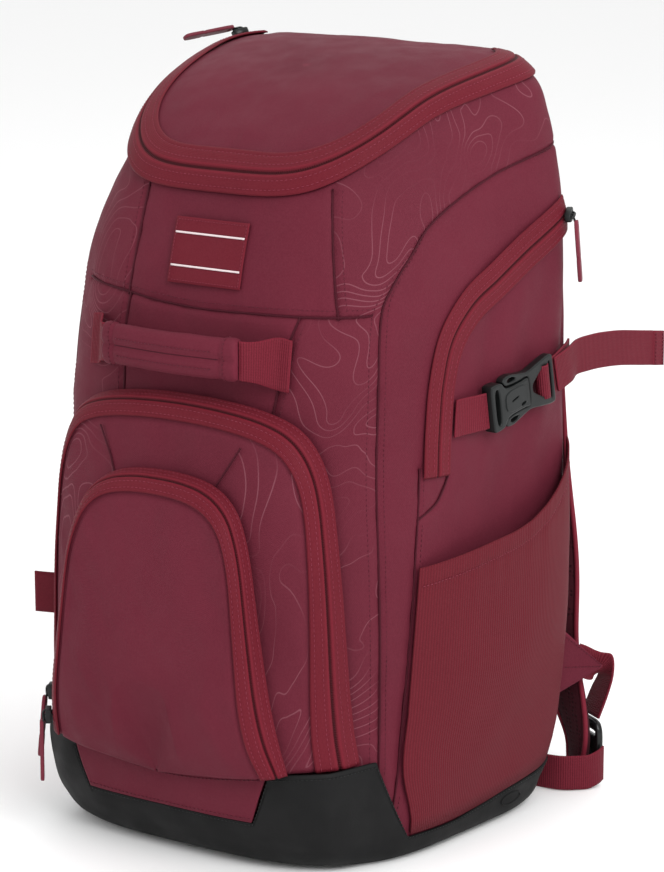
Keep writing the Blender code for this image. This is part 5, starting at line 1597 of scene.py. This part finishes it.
def make_front_band():
    rows = []
    for share in np.linspace(0, 1, 13):
        row = []
        for index in range(91):
            across = mix(-1.0, 1.0, index / 90)
            x = across * (BAND_HALF_WIDTH + BAND_SLANT * share - SKIN_GAP)
            height = mix(BOOT_NOTCH_FLOOR + SEAT_GAP, boot_line(x) - SEAT_GAP, share)
            angle = angle_at(x, height) if abs(x) > 1e-6 else 0.0
            row.append(toe_point(angle, height, SKIN_GAP))
        rows.append(row)
    grid = as_grid(rows)
    normal = outward(grid)
    make("front_band_cloth", grid, "cloth", ["front_band"], BOOT_WALL * 0.9)
    raised = grid + normal * (BOOT_WALL + 0.0001)
    edge = [list(zip(raised[row], normal[row])) for row in (1, 11)]
    stitches("front_band_stitches", edge, "dark_thread")


def make_handle():
    rows = []
    for share in np.linspace(0.0, 1.0, 71):
        centre = handle_axis(share)
        near_end = min(share, 1 - share)
        draw = mix(0.86, 1.0, smooth(near_end / 0.02))
        cuff = 1.05 if near_end < 0.105 else 1.0
        ring = []
        for index in range(HANDLE_RING):
            angle = math.tau * index / HANDLE_RING
            across = math.copysign(abs(math.cos(angle)) ** 0.75, math.cos(angle))
            rise = math.copysign(abs(math.sin(angle)) ** 0.75, math.sin(angle))
            crease = math.exp(-(rise / 0.16) ** 2) if across < 0 else 0.0
            reach = across * HANDLE_THICK / 2 * draw * cuff * (1 - 0.34 * crease)
            ring.append(centre + Vector((0, reach, rise * HANDLE_TALL / 2 * draw * cuff * 0.985)))
        rows.append(ring)
    grid = as_grid(rows)
    normal = outward(grid, tuple(handle_axis(0.5)), True)
    along = lengths(grid, 0)
    end = each_row(np.minimum(along, along[-1] - along), grid)
    relief = 0.0007 * rumple(grid, 0.016, 71.0, 2, (2.0, 1, 1)) * smooth_step(end, 0.0, 0.01)
    relief -= 0.0010 * np.exp(-((end - 0.0118) / 0.0011) ** 2)
    grid = grid + normal * relief[..., None]
    grip = make("handle_grip_pad", grid, "cloth", ["handle_grip"], wrap=True, cap=True,
                centre=tuple(handle_axis(0.5)), along=0)
    face_outwards(grip, close=True)
    front = HANDLE_RING // 2
    raised = grid + normal * STITCH_LIFT
    lines = [list(zip(raised[9:62, column], normal[9:62, column])) for column in (front - 2, front + 3)]
    for row in (5, 65):
        ring = list(zip(raised[row], normal[row]))
        lines.append(ring + ring[:1])
    stitches("handle_stitches", lines, "dark_thread", pitch=LONG_PITCH)
    # Painted shade: a dark cord in the seam material laid along the bottom of the grip's crease.
    crease = [Vector(point) for point in (grid - normal * STITCH_LIFT)[8:63, front]]
    tube("handle_crease_shade", [crease], 0.0006, "seam")
    for side in (1, -1):
        grip_end = handle_axis(0.5 + side * 0.5)
        start = grip_end.x + side * SEAT_GAP
        rows = []
        for share in np.linspace(0.0, 1.0, 25):
            x = start + side * HANDLE_END_REACH * share
            drop = smooth(min(share / 0.75, 1.0))
            half = mix(HANDLE_TALL * 0.46, HANDLE_END_TALL / 2, curve(HANDLE_END_FLARE, share))
            row = []
            for up in np.linspace(-1, 1, 17):
                height = HANDLE_HEIGHT + up * half - 0.004 * share * abs(up)
                row.append(Vector((x, mix(grip_end.y, front_y(x, height, SEAT_GAP), drop), height)))
            rows.append(row)
        make_strap(side_name("handle_end_web", side), as_grid(rows), side_name("handle_end", side))


def make_label():
    rows = []
    for up in np.linspace(-1, 1, 25):
        row = []
        for across in np.linspace(-1, 1, 41):
            x = LABEL_CENTRE + across * LABEL_WIDTH / 2 + up * LABEL_SLANT / 2
            height = LABEL_HEIGHT + up * LABEL_TALL / 2
            row.append(Vector((x, front_y(x, height, 0.0002), height)))
        rows.append(row)
    grid = as_grid(rows)
    normal = outward(grid)
    make("label_cloth", grid, "label", ["label_patch"], 0.0010)
    for name, row in (("low", 6), ("high", 18)):
        bar = grid[row:row + 2, 1:-1] + normal[row:row + 2, 1:-1] * 0.00115
        bar = np.concatenate([bar[:1], bar[:1] * 0.3 + bar[1:] * 0.7])
        make("label_bar_" + name, bar, "pale", (), 0.0004)
    rim = [(row, 1) for row in range(1, 24)] + [(23, column) for column in range(1, 40)]
    rim += [(row, 39) for row in range(23, 0, -1)] + [(1, column) for column in range(39, 0, -1)]
    edge = [(grid[place] + normal[place] * 0.0012, normal[place]) for place in rim]
    stitches("label_stitches", [edge], "thread", pitch=0.0024, radius=0.00024)


def make_panel():
    rows = []
    steps = 90
    bottom = BOOT_SIDE_EDGE[-1][1] * HEIGHT + PANEL_FOOT_GAP
    for up in range(steps + 1):
        rise = 2 * up / steps - 1
        height = mix(bottom, PANEL_TOP, up / steps)
        half = PANEL_HALF_WIDTH * mix(1.0, 0.80, smooth((rise - 0.55) / 0.45))
        row = []
        for share in np.linspace(-1, 1, 97):
            roll = max((1 - abs(share) ** 8) * (1 - abs(rise) ** 14), 0.0) ** 0.5
            channel = 0.55 * math.exp(-((abs(share) - 0.16) / 0.035) ** 2)
            channel += 0.40 * math.exp(-((abs(share) - 0.62) / 0.03) ** 2)
            for line in (-0.55, -0.05, 0.45):
                channel += 0.32 * math.exp(-((rise - line - 0.10 * abs(share)) / 0.022) ** 2)
            thick = PANEL_THICK * mix(0.25, 1.0, roll) * (1 - min(channel, 0.6))
            row.append(panel_face(share * half, height, SKIN_GAP + thick))
        rows.append(row)
    grid = as_grid(rows)
    normal = outward(grid)
    grid = grid + normal * np.minimum(0.0006 * rumple(grid, 0.03, 81.0, 2), 0.0003)[..., None]
    back = make("back_pad", grid, "panel", ["back_panel"], PANEL_THICK * 0.22, out=False)
    rim = [grid[0, column] for column in range(grid.shape[1])]
    rim += [grid[row, -1] for row in range(1, grid.shape[0])]
    rim += [grid[-1, column] for column in range(grid.shape[1] - 2, -1, -1)]
    rim += [grid[row, 0] for row in range(grid.shape[0] - 2, 0, -1)]
    tube("back_pad_piping", [[Vector(point) for point in rim]], 0.0016, "web", 8, closed=True)


def make_shoulder(side):
    rows, edges = [], ([], [])
    steps = 84
    ring_count = 40
    for index in range(steps + 1):
        share = index / steps
        here = shoulder_axis(share)
        step = shoulder_axis(min(share + 0.03, 1.0)) - shoulder_axis(max(share - 0.03, 0.0))
        turn = SHOULDER_TURN * smooth((share - 0.7) / 0.3)
        across = Vector((math.cos(turn), -math.sin(turn), 0))
        across = (across - step * (step.dot(across) / step.length_squared)).normalized()
        normal = across.cross(step).normalized()
        if normal.y < 0:
            normal = -normal
        half = SHOULDER_WIDTH / 2 * mix(1.0, SHOULDER_END_SHARE, smooth((share - 0.62) / 0.38))
        ring = []
        for place in range(ring_count):
            angle = math.tau * place / ring_count
            reach = math.copysign(abs(math.cos(angle)) ** 0.55, math.cos(angle))
            up = math.copysign(abs(math.sin(angle)) ** 0.8, math.sin(angle))
            roll = mix(0.45, 1.0, (1 - abs(reach) ** 3) ** 0.5)
            lift = SHOULDER_THICK * (0.5 * roll + up * 0.48 * roll)
            ring.append(here + across * half * reach * 0.985 + normal * lift)
        middle = here + normal * SHOULDER_THICK * 0.22
        for edge, sign in zip(edges, (-1, 1)):
            edge.append(middle + across * half * sign * 0.985)
        if side < 0:
            ring = [Vector((-point.x, point.y, point.z)) for point in ring]
        rows.append(ring)
    grid = as_grid(rows)
    normals = grid - grid.mean(axis=1, keepdims=True)
    normals /= np.linalg.norm(normals, axis=2, keepdims=True)
    grid = grid + normals * np.minimum(0.0006 * rumple(grid, 0.02, 91.0, 2), 0.0003)[..., None]
    vertices = [Vector(point) for point in grid.reshape(-1, 3)]
    faces = []
    for row in range(steps):
        for place in range(ring_count):
            after = (place + 1) % ring_count
            faces.append((row * ring_count + place, row * ring_count + after,
                          (row + 1) * ring_count + after, (row + 1) * ring_count + place))
    faces.append(tuple(range(ring_count)))
    faces.append(tuple(steps * ring_count + place for place in reversed(range(ring_count))))
    pad = mesh_object(side_name("shoulder_pad", side), vertices, faces, "panel",
                      [side_name("shoulder_strap", side)])
    face_outwards(pad)
    lines = []
    for edge in edges:
        lines.append([Vector((-p.x, p.y, p.z)) if side < 0 else p for p in edge])
    tube(side_name("shoulder_binding", side), lines, 0.0019, "web", 8)


def make_low_straps(side):
    top, foot, tip = wing_corners(side)
    rows = []
    for share in np.linspace(0.0, 0.97, 13):
        rows.append([top.lerp(foot, up).lerp(tip, share) for up in np.linspace(0, 1, 13)])
    grid = as_grid(rows)
    normal = outward(grid, WING_CENTRE)
    make(side_name("wing_cloth", side), grid, "cloth", [side_name("strap_wing", side)],
         WING_WALL)
    lift = normal * (WING_WALL + STITCH_LIFT)
    raised = grid + lift
    upper = list(zip(grid[:, 0] * 0.86 + grid[:, 6] * 0.14 + lift[:, 0], normal[:, 0]))
    middle = list(zip(raised[2:, 7], normal[2:, 7]))
    stitches(side_name("wing_stitches", side), [upper, middle], "dark_thread", pitch=SHORT_PITCH)
    wing_out = (top - foot).cross(tip - foot).normalized()
    wing_out *= math.copysign(1.0, wing_out.x * side)
    rows = []
    for index, (*outer, back, rise, low) in enumerate(LOWER_WEB_PATH):
        row = [from_tip(side, *outer), from_tip(side, back, rise, low)]
        if index < WEB_ROWS_ON_WING:
            row = [point - wing_out * ((point - tip).dot(wing_out) + SEAT_GAP) for point in row]
        rows.append([row[0], row[0].lerp(row[1], 0.5), row[1]])
    make_strap(side_name("lower_strap_web", side), dense(rows, 8, 6), side_name("lower_web", side))
    rows = []
    for out, back, rise in ADJUSTER_PATH:
        low = Vector((tip.x + side * out * STRAP_WIDTH, tip.y + back * STRAP_WIDTH,
                      FLOOR_GAP + rise * STRAP_WIDTH))
        rows.append([low, low + Vector((0, 0, STRAP_WIDTH / 2)), low + Vector((0, 0, STRAP_WIDTH))])
    make_strap(side_name("adjuster_strap_web", side), dense(rows, 8, 6), side_name("adjuster_web", side))


def make_small_cloth():
    rows = []
    height = PANEL_TOP + LOOP_TALL / 2 + SEAT_GAP
    for index in range(61):
        turn = math.pi * index / 60
        x = -math.cos(turn) * LOOP_HALF_WIDTH
        rise = math.sin(turn) ** 0.8 * LOOP_REACH if 0 < index < 60 else 0.0
        y = back_y(x, height, SKIN_GAP) + rise
        rows.append([Vector((x, y, height + up * LOOP_TALL / 2)) for up in np.linspace(-1, 1, 9)])
    make_strap("haul_loop_web", as_grid(rows), "haul_loop", centre=(0, 0, height))
    rows = []
    for up in np.linspace(0, 1, 9):
        height = TAG_BOTTOM + TAG_TALL * up
        root = side_point(TAG_DEPTH_SHARE * FRONT_REACH, height, SKIN_GAP, -1)
        rows.append([root + Vector((-TAG_REACH * share, -TAG_REACH * 0.35 * share, 0))
                     for share in np.linspace(0, 1, 13)])
    grid = as_grid(rows)
    bow = np.sin(np.linspace(0, math.pi, 13))[None, :, None] * np.array([0, -0.0008, 0])
    make("side_tag_cloth", grid + bow, "label", ["side_tag"], TAG_WALL * 0.8)


def rounded(points, times=3):
    """Cut the corners of a closed outline, so that they read as moulded."""
    for _ in range(times):
        cut = []
        for index, (x, y) in enumerate(points):
            next_x, next_y = points[(index + 1) % len(points)]
            cut.append((x * 0.8 + next_x * 0.2, y * 0.8 + next_y * 0.2))
            cut.append((x * 0.2 + next_x * 0.8, y * 0.2 + next_y * 0.8))
        points = cut
    return points


def mirrored(half):
    """A whole outline from its upper half, listed from one end to the other."""
    return half + [(x, -y) for x, y in reversed(half)]


def moulded(name, outlines, thick, place, material_name, nodes=(), edge=0.0006):
    """A plate with rounded edges; the first outline is its rim and the others are holes."""
    shape = bpy.data.curves.new(name, "CURVE")
    shape.dimensions = "2D"
    shape.fill_mode = "BOTH"
    for outline in outlines:
        ring = shape.splines.new("POLY")
        ring.points.add(len(outline) - 1)
        for point, (x, y) in zip(ring.points, outline):
            point.co = (x, y, 0, 1)
        ring.use_cyclic_u = True
    shape.extrude = thick / 2 - edge
    shape.bevel_depth = edge
    shape.bevel_resolution = 2
    shape.offset = -edge
    carrier = bpy.data.objects.new(name, shape)
    bpy.context.collection.objects.link(carrier)
    bpy.context.view_layer.update()
    mesh = bpy.data.meshes.new_from_object(carrier.evaluated_get(bpy.context.evaluated_depsgraph_get()))
    bpy.data.objects.remove(carrier, do_unlink=True)
    mesh.transform(place)
    mesh.materials.clear()
    mesh.materials.append(M[material_name])
    mesh.shade_smooth()
    mesh.set_sharp_from_angle(angle=math.radians(38))
    obj = bpy.data.objects.new(name, mesh)
    bpy.context.collection.objects.link(obj)
    return dress(obj, nodes)


def make_buckle(side):
    """Fastened side-release buckle: body, pronged frame and the webbing looped in the frame."""
    place = buckle_frame(side)
    half = BUCKLE_WIDTH / 2

    def sized(points, times=3):
        return rounded([(x * BUCKLE_LENGTH, y * half * side) for x, y in points], times)

    body = mirrored([(0.0, 0.94), (0.03, 1.0), (0.10, 1.0), (0.17, 0.95), (0.215, 0.66), (0.30, 0.58),
                     (0.50, 0.58), (0.575, 0.62), (0.585, 0.40)])
    slot_hole = mirrored([(0.055, 0.76), (0.125, 0.76)])
    slit = [(0.29, 0.02), (0.40, 0.10), (0.40, 0.03), (0.29, -0.05)]
    mark = [(0.43, -0.30), (0.50, -0.26), (0.50, -0.38), (0.43, -0.42)]
    moulded(side_name("buckle_body", side),
            [sized(body), sized(slot_hole, 2), sized(slit, 2), sized(mark, 2)],
            BUCKLE_THICK, place, "buckle", [side_name("buckle_female", side)], 0.0011)
    raised = mirrored([(0.20, 0.30), (0.27, 0.46), (0.48, 0.46), (0.55, 0.30)])
    ridge = Matrix.Translation((0, 0, BUCKLE_THICK / 2))
    moulded(side_name("buckle_ridge", side), [sized(raised), sized(slit, 2), sized(mark, 2)],
            0.0012, place @ ridge, "buckle", (), 0.0005)
    rim = mirrored([(0.215, 0.82), (0.20, 0.92), (0.235, 1.06), (0.33, 1.08), (0.45, 0.94), (0.60, 0.80),
                    (0.78, 0.96), (0.92, 1.06), (0.985, 1.04), (1.0, 0.90)])
    inside = mirrored([(0.245, 0.68), (0.36, 0.62), (0.50, 0.62), (0.592, 0.66), (0.61, 0.40)])
    outline = rim + list(reversed(inside))
    window = [(0.27, 0.86), (0.31, 0.95), (0.38, 0.90), (0.41, 0.80), (0.36, 0.76), (0.29, 0.78)]
    low_window = [(x, -y) for x, y in window]
    opening = mirrored([(0.66, 0.14), (0.72, 0.34), (0.87, 0.74)])
    far_slot = mirrored([(0.915, 0.80), (0.957, 0.80)])
    moulded(side_name("buckle_frame", side),
            [sized(outline), sized(window), sized(low_window), sized(opening, 2), sized(far_slot, 2)],
            BUCKLE_THICK * 0.72, place, "buckle", [side_name("buckle_male", side)], 0.0010)
    rows = []
    for turn in np.linspace(0, math.tau, 49):
        across = BUCKLE_LENGTH * (0.868 + 0.066 * math.cos(turn))
        out = BUCKLE_THICK * 0.56 * math.sin(turn)
        rows.append([place @ Vector((across, half * 0.72 * share * side, out))
                     for share in np.linspace(-1, 1, 9)])
    middle = place @ Vector((BUCKLE_LENGTH * 0.868, 0, 0))
    make(side_name("buckle_web", side), as_grid(rows), "web", (), STRAP_WALL * 0.6, out=False,
         centre=tuple(middle), along=0)


def node_frame(points, towards, outwards):
    """Frame and size of a plate from its corner points: X to one end, Z off the cloth."""
    points = np.array(points)
    values, axes = np.linalg.eigh(np.cov((points - points.mean(axis=0)).T))
    along, normal = Vector(axes[:, 2]), Vector(axes[:, 0])
    if along.dot(towards) < 0:
        along = -along
    if normal.dot(outwards) < 0:
        normal = -normal
    across = normal.cross(along)
    spread = [points @ np.array(axis) for axis in (along, across, normal)]
    size = [float(values.max() - values.min()) for values in spread]
    middle = Vector()
    for values, axis in zip(spread, (along, across, normal)):
        middle += axis * float(values.max() + values.min()) / 2
    place = Matrix.Translation(middle) @ Matrix((along, across, normal)).transposed().to_4x4()
    return place, size


def world_points(name):
    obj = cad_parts[name]
    return [tuple(obj.matrix_world @ vertex.co) for vertex in obj.data.vertices]


def make_puller(name):
    """Zip slider with its bridge, a wire loop and a rubber pull tab."""
    slider_points = world_points(name + "_slider")
    pull_points = world_points(name + "_pull")
    slider_middle = Vector(np.mean(slider_points, axis=0))
    pull_middle = Vector(np.mean(pull_points, axis=0))
    off = Vector((slider_middle.x, slider_middle.y - 0.03, (slider_middle.z - 0.28) * 1.5))
    hang = pull_middle - slider_middle
    seat, size = node_frame(slider_points, hang, off)
    length, width, thick = size
    body = [(x * length, y * width) for x, y in mirrored([(-0.50, 0.34), (-0.34, 0.50), (0.10, 0.50),
                                                         (0.40, 0.34), (0.50, 0.22)])]
    moulded(name + "_slider_body", [rounded(body, 2)], thick * 0.80,
            seat @ Matrix.Translation((0, 0, -thick * 0.1)), "buckle", [name + "_slider"], 0.0006)
    top = thick * 0.28
    bridge = [seat @ Vector((x * length * 0.36, 0, top + 0.0019 * (1 - x ** 4)))
              for x in np.linspace(-1, 1, 13)]
    tube(name + "_bridge", [bridge], 0.0008, "buckle", 8)
    tab, tab_size = node_frame(pull_points, hang, off)
    reach, half = tab_size[0] / 2, tab_size[1] / 2
    rim = mirrored([(-reach, half * 0.5), (-reach + half * 0.6, half * 0.92), (reach * 0.16, half * 0.92),
                    (reach * 0.20, half * 0.72), (reach * 0.26, half * 0.72), (reach * 0.30, half * 0.96),
                    (reach - half * 0.6, half), (reach, half * 0.6)])
    eye = [(-reach + half * 1.0 + half * 0.34 * math.cos(turn), half * 0.34 * math.sin(turn))
           for turn in np.linspace(0, math.tau, 12, endpoint=False)]
    moulded(name + "_tab", [rounded(rim, 2), eye], tab_size[2], tab, "pull", [name + "_pull"],
            0.0006)
    start = seat @ Vector((0, 0, top + 0.0008))
    finish = tab @ Vector((-reach + half * 1.0, 0, 0))
    run = finish - start
    across = (seat.to_3x3() @ Vector((0, 1, 0))).normalized()
    ring = [start + run * (0.5 - 0.56 * math.cos(turn)) + across * 0.0017 * math.sin(turn)
            for turn in np.linspace(0, math.tau, 28, endpoint=False)]
    tube(name + "_loop", [ring], 0.00055, "buckle", 8, closed=True)


def make_lock(side):
    """Ladder lock: a thick rounded frame with a bar between its two slots."""
    name = side_name("ladder_lock", side)
    place = lock_frame(side)
    tall, wide = LOCK_TALL / 2, LOCK_WIDTH / 2
    rim = mirrored([(-tall, wide * 0.60), (-tall * 0.82, wide * 0.96), (tall * 0.60, wide),
                    (tall * 0.96, wide * 0.7)])
    slots = [mirrored([(middle * tall - 0.0018, wide * 0.80), (middle * tall + 0.0018, wide * 0.80)])
             for middle in (0.5, -0.5)]
    moulded(name + "_moulding", [rounded(rim)] + [rounded(slot, 2) for slot in slots], LOCK_THICK, place,
            "glossy", [name], LOCK_THICK * 0.30)


# Floor, lights and camera

FLOOR_REACH = 40.0
FLOOR_GREY = 0.93
WORLD_STRENGTH = 0.97
AZIMUTH = math.radians(35.5)
ELEVATION = math.radians(12.5)
CAMERA_DISTANCE = 2.430
LOOK_AT = (0.020, 0.017, 0.265)
LENS = 144.5
SENSOR = 36
# name, place, what it points at, size and power
LIGHTS = (
    ("key", (2.2, -1.0, 1.9), BAG_CENTRE, (1.6, 1.6), 58),
    ("fill", (-1.8, -2.4, 1.5), BAG_CENTRE, (2.0, 2.0), 10),
    ("top", (0.0, 0.9, 2.6), (0, 0, 0.3), (2.4, 2.4), 20),
)


def make_stage():
    mesh = bpy.data.meshes.new("floor")
    corners = [(x * FLOOR_REACH, y * FLOOR_REACH, 0) for x, y in ((-1, -1), (1, -1), (1, 1), (-1, 1))]
    mesh.from_pydata(corners, [], [(0, 1, 2, 3)])
    floor_material = bpy.data.materials.new("floor")
    floor_material.use_nodes = True
    shader = floor_material.node_tree.nodes["Principled BSDF"]
    shader.inputs["Base Color"].default_value = (FLOOR_GREY, FLOOR_GREY, FLOOR_GREY, 1)
    shader.inputs["Roughness"].default_value = 0.9
    mesh.materials.append(floor_material)
    floor = bpy.data.objects.new("floor", mesh)
    bpy.context.collection.objects.link(floor)
    bpy.context.scene.view_settings.view_transform = "Standard"
    world = bpy.data.worlds.new("studio")
    world.use_nodes = True
    world.node_tree.nodes["Background"].inputs[0].default_value = (1.0, 1.0, 1.0, 1)
    world.node_tree.nodes["Background"].inputs[1].default_value = WORLD_STRENGTH
    bpy.context.scene.world = world


def area_light(name, place, target, size, energy):
    light = bpy.data.lights.new(name, "AREA")
    light.shape = "RECTANGLE"
    light.size, light.size_y = size
    light.energy = energy
    obj = bpy.data.objects.new(name, light)
    obj.location = place
    obj.rotation_euler = (Vector(target) - Vector(place)).to_track_quat("-Z", "Y").to_euler()
    bpy.context.collection.objects.link(obj)


def make_camera():
    back = Vector((math.sin(AZIMUTH) * math.cos(ELEVATION), -math.cos(AZIMUTH) * math.cos(ELEVATION),
                   math.sin(ELEVATION)))
    camera = bpy.data.cameras.new("camera")
    camera.lens = LENS
    camera.sensor_width = SENSOR
    obj = bpy.data.objects.new("camera", camera)
    obj.location = Vector(LOOK_AT) + back * CAMERA_DISTANCE
    obj.rotation_euler = back.to_track_quat("Z", "Y").to_euler()
    bpy.context.collection.objects.link(obj)
    bpy.context.scene.camera = obj


make_camera()
make_stage()
for light in LIGHTS:
    area_light(*light)

make_body()
make_lid()
make_lid_zip()
make_boot()
make_boot_feet()
make_front_band()
make_pockets()
make_handle()
make_label()
make_panel()
for side in (1, -1):
    make_side_zip(side)
    make_side_pocket(side)
    make_side_straps(side)
    make_shoulder(side)
    make_low_straps(side)
    make_buckle(side)
    make_lock(side)
for puller in ("lid", "large", "small", "side_left", "side_right"):
    make_puller(puller)
make_small_cloth()
